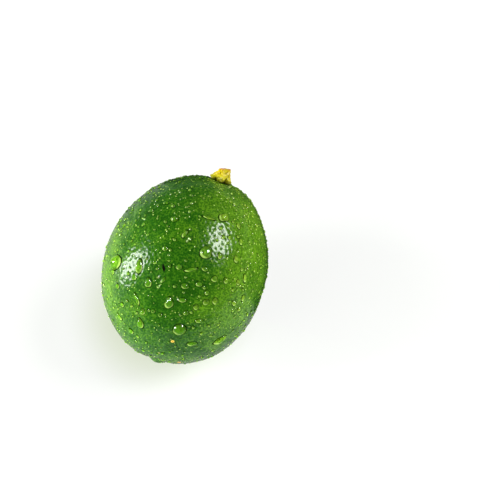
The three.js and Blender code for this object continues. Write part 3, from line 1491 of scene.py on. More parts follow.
@dataclass
class CalyxButton:
    """The dried calyx: five fused lobes that narrow to the scar of the stalk.

    Attributes:
        form: the fruit's form, which it follows.
        radius: to the lobe tips, in mm.
        height: in mm.
        sink: how far its underside is bedded in the peel, in mm.
        lobe_lengths: a share for each lobe.
        lobe_toward_deg: side that the first lobe points to.
        notch_depth: how far the notches cut in at the rim, as a share of the radius.
        neck_ribbing: the same share up on the neck.
        notch_fade: how fast the notches fade up the side.
        scar_slant_deg: slope of the scar.
        scar_high_side_deg: side that the scar is highest on.
        ribs: how many waves of fine ribs run up its flank.
        rib_counts: least and most ribs of a wave.
        rib_sizes: least and most strength of a wave.
        rib_share: how far the ribs stand out, as a share of the radius.
        lumps: how many waves of unevenness run over its flank.
        lump_counts: least and most lumps of a wave round it.
        lump_climb: how far a wave turns as it climbs.
        lump_share: how far each bulges at most, as a share of the radius.
        flank_rise: shares of the height where ribs and lumps start and are full.
        flank_reach: the same as shares of the radius.
        torn_mm: height of the torn scar's folds.
        torn_folds: waves of those round the scar, and across it.
        torn_rise: shares of the height where the folds start and are full.
        torn_reach: the same as shares of the radius.
        rim_rise: share of the height of the brown rim, and how far it fades.
        rim_reach: shares of the radius where the rim's brown starts and is full.
        crevice_rise: shares of the height where the notches' shade starts and is full.
        scar_rise: the same for the scar's colour.
        scar_patches: how many patches it has, their mean strength and how far that varies.
        outline: its section, as shares of the radius and the height.
        around: corners round it.
        steps: corners between two points of the outline.
        seed: start of the random draw.
    """

    form: FruitForm
    radius: float = 4.0
    height: float = 4.6
    sink: float = 0.08
    lobe_lengths: tuple[float, ...] = (0.98, 0.95, 0.9, 1.0, 1.04)
    lobe_toward_deg: float = 80.0
    notch_depth: float = 0.34
    neck_ribbing: float = 0.05
    notch_fade: float = 1.4
    scar_slant_deg: float = 15.0
    scar_high_side_deg: float = -8.0
    ribs: int = 7
    rib_counts: tuple[int, int] = (14, 46)
    rib_sizes: tuple[float, float] = (0.1, 0.3)
    rib_share: float = 0.03
    lumps: int = 8
    lump_counts: tuple[int, int] = (3, 12)
    lump_climb: tuple[float, float] = (-2.5, 2.5)
    lump_share: float = 0.045
    flank_rise: tuple[float, float] = (0, 1 / 6)
    flank_reach: tuple[float, float] = (0.3, 0.3 + 1 / 6)
    torn_mm: float = 0.12
    torn_folds: tuple[float, float] = (3, 72)
    torn_rise: tuple[float, float] = (0.9, 0.9 + 1 / 12)
    torn_reach: tuple[float, float] = (0.5, 0.4)
    rim_rise: tuple[float, float] = (0.15, 0.16)
    rim_reach: tuple[float, float] = (0.75, 1)
    crevice_rise: tuple[float, float] = (6 / 13, 1 / 13)
    scar_rise: tuple[float, float] = (0.88, 0.88 + 1 / 9)
    scar_patches: tuple[int, float, float] = (3, 0.6, 0.4)
    outline: tuple[tuple[float, float], ...] = (
        (0, 0),
        (0.45, 0),
        (0.8, 0.02),
        (0.94, 0.07),
        (1.0, 0.17),
        (0.96, 0.31),
        (0.86, 0.42),
        (0.74, 0.54),
        (0.62, 0.68),
        (0.54, 0.84),
        (0.51, 0.95),
        (0.43, 1.0),
        (0.22, 0.95),
        (0, 0.93),
    )
    around: int = 180
    steps: int = 6
    seed: int = 5

    def section(self) -> Array:
        """Draw the outline as a smooth curve through its points.

        Returns:
            Shares of the radius and the height, one row each.
        """
        given = np.array(self.outline)
        padded = np.concatenate([given[:1], given, given[-1:]])
        share = np.linspace(0, 1, self.steps, endpoint=False)[:, None]
        spans = []
        for before, start, end, after in zip(padded, padded[1:], padded[2:], padded[3:]):
            spans.append(
                start
                + share * (end - before) / 2
                + share**2 * (before - 2.5 * start + 2 * end - 0.5 * after)
                + share**3 * (1.5 * (start - end) + 0.5 * (after - before))
            )
        curve = np.concatenate([*spans, given[-1:]])
        return np.clip(curve, 0, None)

    def lobe_share(self, round_: Array, height_share: Array) -> tuple[Array, Array]:
        """Share of the full radius kept at each side and height.

        Args:
            round_: angles round the core, in radians.
            height_share: share of the height.

        Returns:
            The share, and how deep in a notch each place is.
        """
        turn = (round_ - side_angle(self.lobe_toward_deg)) / TAU
        lobes = len(self.lobe_lengths)
        along = (turn - np.floor(turn)) * lobes
        lobe = np.floor(along).astype(int) % lobes
        between = along - np.floor(along)
        lengths = np.array(self.lobe_lengths)
        ease = between**2 * (3 - 2 * between)
        length = lengths[lobe] + (lengths[(lobe + 1) % lobes] - lengths[lobe]) * ease
        notch = 1 - np.abs(np.cos(math.pi * between))
        fade = (1 - np.clip(height_share, 0, 1)) ** self.notch_fade
        depth = self.neck_ribbing + (self.notch_depth - self.neck_ribbing) * fade
        return (length + (1 - length) * height_share) * (1 - depth * notch), notch

    def build(self, material: Material) -> Piece:
        """Make the calyx.

        Args:
            material: its finish.

        Returns:
            The calyx object.
        """
        section = self.section()
        inner = section[1:-1]
        round_ = np.linspace(0, TAU, self.around, endpoint=False)
        share, turn = np.meshgrid(inner[:, 0], round_, indexing="ij")
        height_share = np.broadcast_to(inner[:, 1:], share.shape)
        kept, notch = self.lobe_share(turn, height_share)
        uneven = self.unevenness(share, turn, height_share)
        radius = self.radius * share * kept * (1 + uneven)
        slant = math.tan(math.radians(self.scar_slant_deg)) * np.cos(
            turn - side_angle(self.scar_high_side_deg)
        )
        rise = height_share * self.height + height_share**2 * radius * slant
        rise = rise + self.torn_top(share, turn, height_share)
        points = self.on_peel(radius, turn, rise - self.sink)
        ends = [
            self.on_peel(np.zeros(1), np.zeros(1), np.array([height * self.height - self.sink]))
            for height in (section[0, 1], section[-1, 1])
        ]
        corners = np.arange(share.size).reshape(share.shape)
        faces = ring_faces(corners, share.size, share.size + 1)
        rim_at, rim_fade = self.rim_rise
        rim = hump(height_share - rim_at, rim_fade) * rising(share, *self.rim_reach)
        # painted shade in the notches, full near the peel and gone by half the height
        notch_shade = notch**2 * rising(height_share, *self.crevice_rise)
        patches, mean, swing = self.scar_patches
        scar = rising(height_share, *self.scar_rise) * (mean + swing * np.cos(turn * patches))
        amounts = {
            "height_share": self.with_ends(height_share, 0, 1),
            "notch": self.with_ends(notch_shade, 0, 0),
            "scar": self.with_ends(scar, 0, 1),
            "rim": self.with_ends(rim, 0, 0),
        }
        laid = np.concatenate([points.reshape(-1, 3), *ends])
        return mesh_object("calyx_button", laid, faces, [material], amounts)

    @staticmethod
    def with_ends(rows: Array, low: float, high: float) -> Array:
        """Amounts at all corners in rows, then at the lowest and at the highest corner."""
        return np.concatenate([rows.ravel(), [low, high]])

    def unevenness(self, share: Array, turn: Array, height_share: Array) -> Array:
        """Fine ribs and soft lumps of the flank.

        Args:
            share: share of the radius.
            turn: angles round the core, in radians.
            height_share: share of the height.

        Returns:
            How far each corner stands out, as a share of the radius.
        """
        rng = np.random.default_rng(self.seed)
        ribs = sum(
            np.cos(count * turn + phase) * size
            for count, phase, size in zip(
                rng.integers(*self.rib_counts, size=self.ribs),
                rng.uniform(0, TAU, self.ribs),
                rng.uniform(*self.rib_sizes, self.ribs),
            )
        )
        lumps = sum(
            np.cos(count * turn + climb * TAU * height_share + phase) * size
            for count, climb, phase, size in zip(
                rng.integers(*self.lump_counts, size=self.lumps),
                rng.uniform(*self.lump_climb, self.lumps),
                rng.uniform(0, TAU, self.lumps),
                rng.uniform(0.5, 1, self.lumps) * self.lump_share,
            )
        )
        flank = rising(height_share, *self.flank_rise) * rising(share, *self.flank_reach)
        return (self.rib_share * ribs + lumps) * flank

    def torn_top(self, share: Array, turn: Array, height_share: Array) -> Array:
        """Folds of the torn scar.

        Args:
            share: share of the radius.
            turn: angles round the core, in radians.
            height_share: share of the height.

        Returns:
            Heights in mm.
        """
        round_folds, across_folds = self.torn_folds
        folds = np.cos(round_folds * turn + 1) * np.sin(across_folds * share + 2 * turn)
        top = rising(height_share, *self.torn_rise) * rising(share, *self.torn_reach)
        return self.torn_mm * folds * top

    def on_peel(self, radius: Array, round_: Array, rise: Array) -> Array:
        """Points at a radius and side round the core, raised off the peel along the core.

        Args:
            radius: in mm.
            round_: angles round the core, in radians.
            rise: in mm.

        Returns:
            Row frame points in metres.
        """
        from_stem = np.arcsin(np.clip(radius / (self.form.width / 2), -1, 1))
        ways = direction(from_stem, round_) @ self.form.core_turn.T
        standing = self.form.peel(ways) + rise[..., None] * self.form.stem_way
        return self.form.lay(standing)


@dataclass(frozen=True)
class Drop:
    """A drop of water that shows in the picture.

    Attributes:
        at: the middle of the drop in the picture.
        across_mm: its width.
        along_mm: its length.
        lean_deg: lean of its long side to the right of upright.
        tail: 0 for an even drop, 1 for one drawn out to a point at its upper end.
    """

    at: Pixel
    across_mm: float
    along_mm: float
    lean_deg: float = 0.0
    tail: float = 0.0


@dataclass(frozen=True)
class DropShape:
    """How drops are meshed.

    Attributes:
        sides: corners round the rim.
        rings: rings from the rim to the top.
        base_rings: rings from the rim to the middle of the underside.
        height_share: height as a share of the narrower half.
        wobble: unevenness of the rim.
        glow: painted light that small drops show all over.
        gather_from: share of the radius at which the painted light starts.
        line_share: width of the painted shade line round the rim as a share of the narrower half.
        line_mm: what is added to that width.
        base_rise_mm: how far the underside is above the smooth peel.
        line_sink_mm: how far the line's outer edge is below it.
        bowl_share: depth of the bright bowl seen in the drop, as a share of its radius.
    """

    sides: int
    rings: int
    base_rings: int
    height_share: float = 0.72
    wobble: float = 0.05
    glow: float = 0.0
    gather_from: float = 0.44
    line_share: float = 0.08
    line_mm: float = 0.045
    base_rise_mm: float = 0.02
    line_sink_mm: float = 0.03
    bowl_share: float = 0.35


class DropFinish(IntEnum):
    """Places of a drop's finishes among its materials."""

    WATER = 0
    RIND = 1


@dataclass
class WaterDrops:
    """Drops of rinse water, each a closed lens on its own patch of flooded rind.

    Attributes:
        form: the fruit's form.
        lamp_ways: row frame directions to the lamps, each with its weight.
        seed: start of the random draw.
        level_light: light of a lamp that is level with the peel, in the painted light and shade.
        gather_power: how narrow the painted light and the painted shade of the near side are.
        dimming: how far the side toward a lamp is darkened with painted shade.
        gather_spread: least and most painted light and shade that a drop shows.
        line_swelling: how much the painted light widens the painted shade line round the rim.
        gather_full: share of the radius from which the painted light is full.
        crown_power: how blunt the crown is.
        tail_narrowing: how narrow a tail gets.
        tail_power: how late it narrows.
        tail_flattening: how flat it gets.
    """

    form: FruitForm
    lamp_ways: Sequence[tuple[Array, float]]
    seed: int
    level_light: float = 0.4
    gather_power: float = 1.6
    dimming: float = 0.5
    gather_spread: tuple[float, float] = (0.75, 1.25)
    line_swelling: float = 0.6
    gather_full: float = 0.8
    crown_power: float = 0.7
    tail_narrowing: float = 0.75
    tail_power: float = 1.5
    tail_flattening: float = 0.4

    def __post_init__(self) -> None:
        """Start with no drops."""
        self.rng = np.random.default_rng(self.seed)
        self.points: list[Array] = []
        self.faces: list[list[int]] = []
        self.finish_of: list[int] = []
        self.amounts: dict[str, list[Array]] = {
            label: [] for label in ("crown", "reach", "bowl", "painted_lens_shading", "ripeness")
        }
        self.taken: list[tuple[Array, float]] = []
        self.corner_count = 0

    def painted_lens_light(self, outward: Array, rim_ways: Array) -> Array:
        """Painted light at each side of a drop's rim, by the lamps, with painted shade where it is
        negative.

        Args:
            outward: the peel's outward direction.
            rim_ways: directions from the drop's middle to each side of the rim.

        Returns:
            Shares from -1, painted shade, to 1, brightest painted light.
        """
        total = np.zeros(len(rim_ways))
        for way, weight in self.lamp_ways:
            height = way @ outward
            slant = unit(way - outward * height)
            away = -(rim_ways @ slant)
            lit = weight * np.clip(self.level_light + height, 0, 1)
            bright, dim = (np.clip(side, 0, 1) ** self.gather_power for side in (away, -away))
            total += lit * (bright - self.dimming * dim)
        return np.clip(total * self.rng.uniform(*self.gather_spread), -1, 1)

    def add(
        self,
        middle: Array,
        along: Array,
        half: tuple[float, float],
        shape: DropShape,
        tail: float = 0.0,
    ) -> None:
        """Add one drop.

        Args:
            middle: row frame point on the peel, in metres.
            along: row frame direction of its long side.
            half: half width and half length, in mm.
            shape: how to mesh it.
            tail: how far its upper end is drawn out.
        """
        _, outward = self.form.peel_at(self.form.way_to(middle))
        along = unit(along - outward * (along @ outward))
        across = np.cross(along, outward)
        round_ = np.linspace(0, TAU, shape.sides, endpoint=False)
        wobble = 1 + sum(
            self.rng.normal(scale=shape.wobble / math.sqrt(waves - 1))
            * np.cos(waves * round_ + self.rng.uniform(0, TAU))
            for waves in (2, 3, 4)
        )
        rim_ways = np.cos(round_)[:, None] * across + np.sin(round_)[:, None] * along
        # painted light on the side away from each lamp, painted shade on the side toward it
        painted_lens_shading = np.clip(self.painted_lens_light(outward, rim_ways) + shape.glow, -1, 1)
        small = min(half)
        # painted shade line round the rim, wider where the painted light is
        line = shape.line_share + shape.line_mm / small
        line = 1 + line * (1 + self.line_swelling * painted_lens_shading)
        base = np.linspace(0, 1, shape.base_rings + 1)
        dome = np.sin(np.linspace(math.pi / 2, 0, shape.rings + 1))
        share = np.concatenate([base, [1], dome])
        ring, turn = np.meshgrid(share, round_, indexing="ij")
        rim_line = len(base)
        ring[rim_line] = line
        upper = (1 + np.sin(turn)) / 2
        narrow = 1 - self.tail_narrowing * tail * upper**self.tail_power
        x = ring * half[0] * wobble * np.cos(turn) * narrow
        y = ring * half[1] * wobble * np.sin(turn)
        rise = np.full_like(ring, shape.base_rise_mm)
        rise[rim_line] = -shape.line_sink_mm
        crowned = np.clip(1 - ring**2, 0, 1) ** self.crown_power
        crowned = crowned * (1 - self.tail_flattening * tail * upper * ring)
        first = rim_line + 1
        rise[first:] += small * shape.height_share * crowned[first:] + shape.base_rise_mm
        rough = middle + (x[..., None] * across + y[..., None] * along) * MM
        ways = self.form.way_to(rough)
        ground, normal = self.form.peel_at(ways)
        laid = ground + normal * rise[..., None] * MM
        inside = np.minimum(ring, 1)
        toward_rim = rising(inside, shape.gather_from, self.gather_full)
        crown = np.where(np.arange(len(share)) < first, 0, 1 - share)
        amounts = {
            "crown": np.broadcast_to(crown[:, None], ring.shape),
            "reach": inside,
            "bowl": inside**2 * small * shape.bowl_share,
            "painted_lens_shading": shape.glow + (painted_lens_shading - shape.glow) * toward_rim,
            "ripeness": self.form.ripeness(ways),
        }
        self.stitch(laid, amounts, rim_line)
        self.taken.append((middle, max(half)))

    def stitch(self, points: Array, amounts: Mapping[str, Array], rind_rings: int) -> None:
        """Join the rings of one drop into a closed mesh.

        Args:
            points: rings of corners from the middle of the underside, out over the line round
                the rim and up to the top. The first and the last ring are one point each.
            amounts: what the finishes read, at each of those corners.
            rind_rings: how many bands, from the middle of the underside, are flooded rind.
        """
        low = self.corner_count
        rings, sides = points.shape[0] - 2, points.shape[1]
        high = low + 1 + rings * sides
        number = np.arange(low + 1, high).reshape(rings, sides)
        self.faces += ring_faces(number, low, high)
        rind_faces = sides * (rind_rings + 1)
        water_faces = sides * (rings + 1) - rind_faces
        self.finish_of += [DropFinish.RIND] * rind_faces + [DropFinish.WATER] * water_faces
        self.points.append(self.ring_corners(points))
        for label, values in amounts.items():
            self.amounts[label].append(self.ring_corners(values[..., None])[:, 0])
        self.corner_count = high + 1

    @staticmethod
    def ring_corners(rings: Array) -> Array:
        """Corners of all rings in a row, with one for the first ring and one for the last."""
        return np.concatenate(
            [rings[0, :1], rings[1:-1].reshape(-1, rings.shape[-1]), rings[-1, :1]]
        )

    def build(self, name: str, materials: Sequence[Material]) -> Piece:
        """Make one object of all the drops.

        Args:
            name: its name.
            materials: the finish of the water and that of the rind under it.

        Returns:
            The object.
        """
        amounts = {label: np.concatenate(values) for label, values in self.amounts.items()}
        points = np.concatenate(self.points)
        return mesh_object(name, points, self.faces, materials, amounts, self.finish_of)


# The drops that can be told apart, the larger ones first.
SHOWN_DROPS = (
    Drop(Pixel(179.5, 329.4), 4.5, 4.2),
    Drop(Pixel(206.0, 252.4), 4.1, 4.1),
    Drop(Pixel(115.8, 262.5), 5.8, 5.0, -20),
    Drop(Pixel(139.0, 266.0), 2.9, 4.9, 5, 0.4),
    Drop(Pixel(140.0, 323.0), 3.0, 4.1, 10, 0.8),
    Drop(Pixel(169.0, 302.6), 3.1, 3.9, 0, 0.4),
    Drop(Pixel(224.0, 217.6), 3.8, 2.9),
    Drop(Pixel(148.0, 282.5), 2.5, 3.2, 0, 0.2),
    Drop(Pixel(220.0, 340.0), 2.5, 5.4, 60),
    Drop(Pixel(174.4, 219.0), 2.4, 2.1),
    Drop(Pixel(134.0, 277.0), 1.7, 2.2),
    Drop(Pixel(142.5, 311.5), 2.0, 2.2, 20, 0.5),
    Drop(Pixel(136.6, 299.0), 1.3, 4.4, -20, 0.3),
    Drop(Pixel(131.0, 331.0), 1.8, 2.1, -30),
    Drop(Pixel(209.0, 218.0), 0.9, 4.3, 104),
    Drop(Pixel(185.0, 234.0), 1.3, 3.0, 35),
    Drop(Pixel(165.0, 248.4), 1.8, 1.7),
    Drop(Pixel(191.0, 269.5), 1.1, 4.4, 78),
    Drop(Pixel(205.0, 269.0), 2.1, 1.5),
    Drop(Pixel(179.0, 267.0), 2.0, 1.7),
    Drop(Pixel(185.0, 286.0), 2.6, 1.9),
    Drop(Pixel(199.0, 284.0), 2.2, 1.7),
    Drop(Pixel(214.5, 279.0), 2.1, 2.1),
    Drop(Pixel(226.0, 280.5), 1.8, 2.1),
    Drop(Pixel(238.0, 282.5), 1.5, 1.9),
    Drop(Pixel(244.7, 278.0), 1.4, 2.9, -8),
    Drop(Pixel(236.0, 259.0), 1.7, 2.4),
    Drop(Pixel(240.7, 241.7), 1.4, 2.2),
    Drop(Pixel(238.7, 226.0), 1.7, 2.1, -20),
    Drop(Pixel(220.0, 256.0), 1.7, 2.2, 20),
    Drop(Pixel(207.0, 292.6), 1.5, 1.8),
    Drop(Pixel(215.0, 301.0), 1.7, 2.5, 5),
    Drop(Pixel(206.0, 302.0), 2.1, 2.1, 25),
    Drop(Pixel(182.4, 300.0), 2.8, 1.5),
    Drop(Pixel(196.0, 307.0), 1.7, 2.1),
    Drop(Pixel(186.0, 312.7), 1.8, 1.7),
    Drop(Pixel(234.0, 303.0), 1.8, 1.8),
    Drop(Pixel(243.0, 298.0), 1.4, 2.2, 5),
    Drop(Pixel(239.0, 309.0), 1.4, 1.7),
    Drop(Pixel(199.0, 320.7), 2.5, 1.5),
    Drop(Pixel(192.0, 343.5), 3.5, 1.8),
    Drop(Pixel(117.5, 286.0), 1.8, 1.8),
    Drop(Pixel(122.0, 304.6), 1.5, 1.8, -20),
    Drop(Pixel(119.5, 316.7), 1.1, 2.9, -50),
    Drop(Pixel(153.0, 311.0), 1.4, 1.4),
    Drop(Pixel(160.0, 314.7), 1.4, 1.5),
    Drop(Pixel(163.0, 280.0), 1.1, 2.2, 45),
    Drop(Pixel(151.0, 211.0), 1.8, 1.4),
    Drop(Pixel(166.0, 203.0), 1.9, 1.2),
    Drop(Pixel(124.0, 225.6), 1.4, 1.8),
    Drop(Pixel(113.0, 272.0), 1.5, 1.7),
    Drop(Pixel(170.0, 266.0), 0.9, 1.2),
    Drop(Pixel(223.3, 237.0), 1.6, 1.4),
    Drop(Pixel(229.7, 237.5), 1.2, 1.5),
    Drop(Pixel(217.0, 240.2), 1.1, 1.1),
    Drop(Pixel(220.8, 228.4), 1.3, 1.2),
    Drop(Pixel(128.0, 273.5), 1.3, 1.2),
)


@dataclass
class Sight:
    """Finds the part of the peel that shows at a pixel.

    Attributes:
        form: the fruit's form.
        camera: the camera.
        cells: fineness of the net that sight lines are met with.
    """

    form: FruitForm
    camera: PictureCamera
    cells: int = 60

    def __post_init__(self) -> None:
        """Keep a search tree of the smooth peel."""
        ways, quads = cube_sphere(self.cells)
        corners = self.form.lay(self.form.peel(ways))
        self.tree = BVHTree.FromPolygons(corners.tolist(), quads.tolist())

    def peel_at(self, at: Pixel) -> tuple[Array, Array]:
        """Point of the peel that shows at a pixel, and its outward direction.

        Args:
            at: the pixel.

        Returns:
            A row frame point in metres and a unit direction.

        Raises:
            ValueError: if the sight line misses the peel.
        """
        hit, _, _, _ = self.tree.ray_cast(*self.camera.ray(at))
        if hit is None:
            raise ValueError(f"the sight line through {at} misses the peel")
        return self.form.peel_at(self.form.way_to(np.array(hit)))


@dataclass(frozen=True)
class Blemish:
    """A small scar, scab or speck on the peel.

    Attributes:
        across_mm: its width and its length.
        core: colour of the middle.
        rim: colour of the edge.
        seen_at: where it shows in the picture, or None where it doesn't.
        from_stem_deg: how far down from the stem end it is, if it doesn't show.
        side_deg: which side it is on, if it doesn't show.
        lean_deg: lean of its long side to the right of upright.
    """

    across_mm: tuple[float, float]
    core: str
    rim: str
    seen_at: Pixel | None = None
    from_stem_deg: float = 0.0
    side_deg: float = 0.0
    lean_deg: float = 0.0

    def place(self, sight: Sight) -> PlacedMark:
        """Put it on the peel.

        Args:
            sight: finds places on the peel.

        Returns:
            The mark in its place.
        """
        if self.seen_at:
            point, outward = sight.peel_at(self.seen_at)
            up = sight.camera.picture_way(self.lean_deg)
        else:
            way = direction(np.radians(self.from_stem_deg), np.array(side_angle(self.side_deg)))
            point, outward = sight.form.peel_at(way)
            up = Vector(sight.form.lay_turn @ np.array(sight.form.stem_way))
            up.rotate(Matrix.Rotation(math.radians(self.lean_deg), 3, Vector(outward)))
        normal = Vector(outward)
        along = (up - normal * up.dot(normal)).normalized()
        turn = Matrix((along.cross(normal), along, normal)).transposed().to_euler()
        return PlacedMark(tuple(point), tuple(turn), self.across_mm, self.core, self.rim)


# Marks that show first, then those on the other sides.
BLEMISHES = (
    Blemish((1.2, 1.15), "#b87806", "#ecd050", Pixel(172.6, 341.5)),
    Blemish((1.3, 1.2), "#b86c0c", "#e2b848", Pixel(179.0, 362.5)),
    Blemish((0.6, 0.6), "#b8822a", "#a8a03c", Pixel(159.0, 353.0)),
    # painted dark reflection of a drop, drawn as a near-black mark
    Blemish((1.0, 2.7), "#040502", "#0c1404", Pixel(163.6, 268.0), lean_deg=-12),
    Blemish((0.45, 1.6), "#a88a3c", "#7f8a2c", Pixel(208.0, 178.8), lean_deg=75),
    Blemish((1.5, 1.3), "#4f3310", "#7c6a24", from_stem_deg=173.4, side_deg=278),
    Blemish((0.7, 7.5), "#b29152", "#7f8c34", from_stem_deg=104, side_deg=205, lean_deg=28),
    Blemish((2.6, 1.9), "#9c7f42", "#738430", from_stem_deg=128, side_deg=300, lean_deg=60),
    Blemish((1.0, 1.2), "#b87a2c", "#c8b05c", from_stem_deg=70, side_deg=225),
    Blemish((0.8, 0.7), "#a56a24", "#b8a048", from_stem_deg=58, side_deg=330),
    Blemish((0.5, 3.4), "#a1854a", "#76852f", from_stem_deg=86, side_deg=318, lean_deg=-40),
)


@dataclass(frozen=True)
class Scatter:
    """One size of scattered drops.

    Attributes:
        name: the name of their piece.
        count: how many to try over the whole fruit.
        across_mm: least and most width.
        shape: how to mesh them.
        hidden_only: leave out the side that the picture shows.
        stretch: least and most length as a share of the width.
    """

    name: str
    count: int
    across_mm: tuple[float, float]
    shape: DropShape
    hidden_only: bool = False
    stretch: tuple[float, float] = (0.85, 1.5)


@dataclass
class Rinse:
    """Where the water lies on the fruit.

    Attributes:
        form: the fruit's form.
        sight: finds the drops that show.
        lamp_ways: row frame directions to the lamps, each with its weight.
        shown_shape: how to mesh the drops that show.
        scatters: the drops scattered over the rest, largest first.
        clear_of_table_mm: no drop is lower than this.
        clear_of_core_mm: no drop is nearer than this to the calyx's middle.
        spacing: least distance of two drops, as a share of their half widths together.
        size_spread: two powers that make small drops more common than large ones.
        middle_share: share of the drops kept round the fruit's middle.
        stem_share: what the stem end adds to that share and the blossom end takes off.
        hidden_facing: how far the peel faces the camera where the hidden side starts.
        lean_spread: how far drops lean from upright.
        seed: start of the random draw.
    """

    form: FruitForm
    sight: Sight
    lamp_ways: Sequence[tuple[Array, float]]
    shown_shape: DropShape = DropShape(28, 9, 5)
    scatters: tuple[Scatter, ...] = (
        Scatter("water_drops_round", 140, (1.2, 3.6), DropShape(16, 5, 3), hidden_only=True),
        Scatter("water_mist", 1300, (0.65, 1.4), DropShape(9, 3, 2, 0.55, glow=0.15)),
        Scatter(
            "water_mist_fine",
            2500,
            (0.34, 0.64),
            DropShape(7, 2, 1, 0.5, glow=0.42, gather_from=0, line_share=0.05, line_mm=0.01),
            stretch=(0.9, 1.15),
        ),
    )
    clear_of_table_mm: float = 4.0
    clear_of_core_mm: float = 5.0
    spacing: float = 1.15
    size_spread: tuple[float, float] = (1.3, 3.2)
    middle_share: float = 0.7
    stem_share: float = 0.3
    hidden_facing: float = -0.15
    lean_spread: float = 0.4
    seed: int = 23

    def build(self, materials: Sequence[Material]) -> list[Piece]:
        """Make the drops that show, the beads on the other sides and the fine mist.

        Args:
            materials: the finish of the water and that of the rind under it.

        Returns:
            The objects.
        """
        shown = WaterDrops(self.form, self.lamp_ways, self.seed)
        for drop in SHOWN_DROPS:
            middle, _ = self.sight.peel_at(drop.at)
            along = np.array(self.sight.camera.picture_way(drop.lean_deg))
            half = (drop.across_mm / 2, drop.along_mm / 2)
            shown.add(middle, along, half, self.shown_shape, drop.tail)
        pieces = [shown.build("water_drops_front", materials)]
        taken = list(shown.taken)
        for number, scatter in enumerate(self.scatters):
            drops = WaterDrops(self.form, self.lamp_ways, self.seed + 1 + number)
            self.scatter(drops, taken, scatter)
            taken += drops.taken
            pieces.append(drops.build(scatter.name, materials))
        return pieces

    def scatter(
        self, drops: WaterDrops, taken: Sequence[tuple[Array, float]], scatter: Scatter
    ) -> None:
        """Scatter drops by a seeded rule, each clear of the others.

        Args:
            drops: what they are added to.
            taken: middles in metres and half widths in mm of drops already there.
            scatter: how many and how large.
        """
        rng = drops.rng
        camera = self.sight.camera
        toward_camera = -np.array(camera.ray(camera.subject_at)[1])
        ways = unit(rng.normal(size=(scatter.count, 3)))
        points, outward = self.form.peel_at(ways)
        from_stem, _ = self.form.core_angles(ways)
        least, most = scatter.across_mm
        size = least + (most - least) * rng.beta(*self.size_spread, size=scatter.count)
        allowed = points[:, 2] > self.clear_of_table_mm * MM
        allowed &= from_stem * self.form.width / 2 > self.clear_of_core_mm
        share = self.middle_share + self.stem_share * np.cos(from_stem)
        allowed &= rng.uniform(size=scatter.count) < share
        if scatter.hidden_only:
            allowed &= outward @ toward_camera < self.hidden_facing
        middles = np.array([middle for middle, _ in taken] + [np.zeros(3)] * scatter.count)
        halves = np.array([half for _, half in taken] + [0.0] * scatter.count)
        placed = len(taken)
        for number in np.argsort(-size):
            if not allowed[number]:
                continue
            half = size[number] / 2
            apart = np.linalg.norm(middles[:placed] - points[number], axis=1)
            if (apart < (half + halves[:placed]) * self.spacing * MM).any():
                continue
            along = np.array([0.0, 0.0, 1.0]) + rng.normal(scale=self.lean_spread, size=3)
            halves_mm = (half, half * rng.uniform(*scatter.stretch))
            drops.add(points[number], along, halves_mm, scatter.shape)
            middles[placed], halves[placed] = points[number], half
            placed += 1


# ---- the studio


@dataclass(frozen=True)
class Softbox:
    """A soft lamp placed so that the fruit mirrors it at a given pixel.

    Attributes:
        name: the lamp's name.
        glint_at: where its mirror image is seen.
        size_mm: its width and height.
        distance_mm: from the fruit.
        watts: its power.
        painted_lens_shading: how strongly its light shows as painted light and shade under drops.
        spark_mm: width of the small bright lamp in its middle.
        spark_watts: power of that.
    """

    name: str
    glint_at: Pixel
    size_mm: tuple[float, float]
    distance_mm: float
    watts: float
    painted_lens_shading: float
    spark_mm: float = 180.0
    spark_watts: float = 420.0

    def away(self, sight: Sight) -> tuple[Vector, Vector]:
        """Find the glint's place and the way to the lamp.

        Args:
            sight: finds places on the peel.

        Returns:
            The point of the peel in metres, and the direction from it to the lamp.
        """
        point, outward = sight.peel_at(self.glint_at)
        _, looking = sight.camera.ray(self.glint_at)
        return Vector(point), looking.reflect(Vector(outward)).normalized()

    def build(self, sight: Sight, wet: bpy.types.Collection) -> None:
        """Make the lamp, and a small bright one in its middle that only glints in the water.

        Args:
            sight: finds the glint's place on the peel.
            wet: the pieces of water.
        """
        point, away = self.away(sight)
        place = point + away * self.distance_mm * MM
        area_lamp(self.name, place, away, self.size_mm, self.watts)
        spark_size = (self.spark_mm, self.spark_mm)
        spark = area_lamp(f"{self.name}_spark", place, away, spark_size, self.spark_watts)
        spark.visible_diffuse = False
        spark.light_linking.receiver_collection = wet


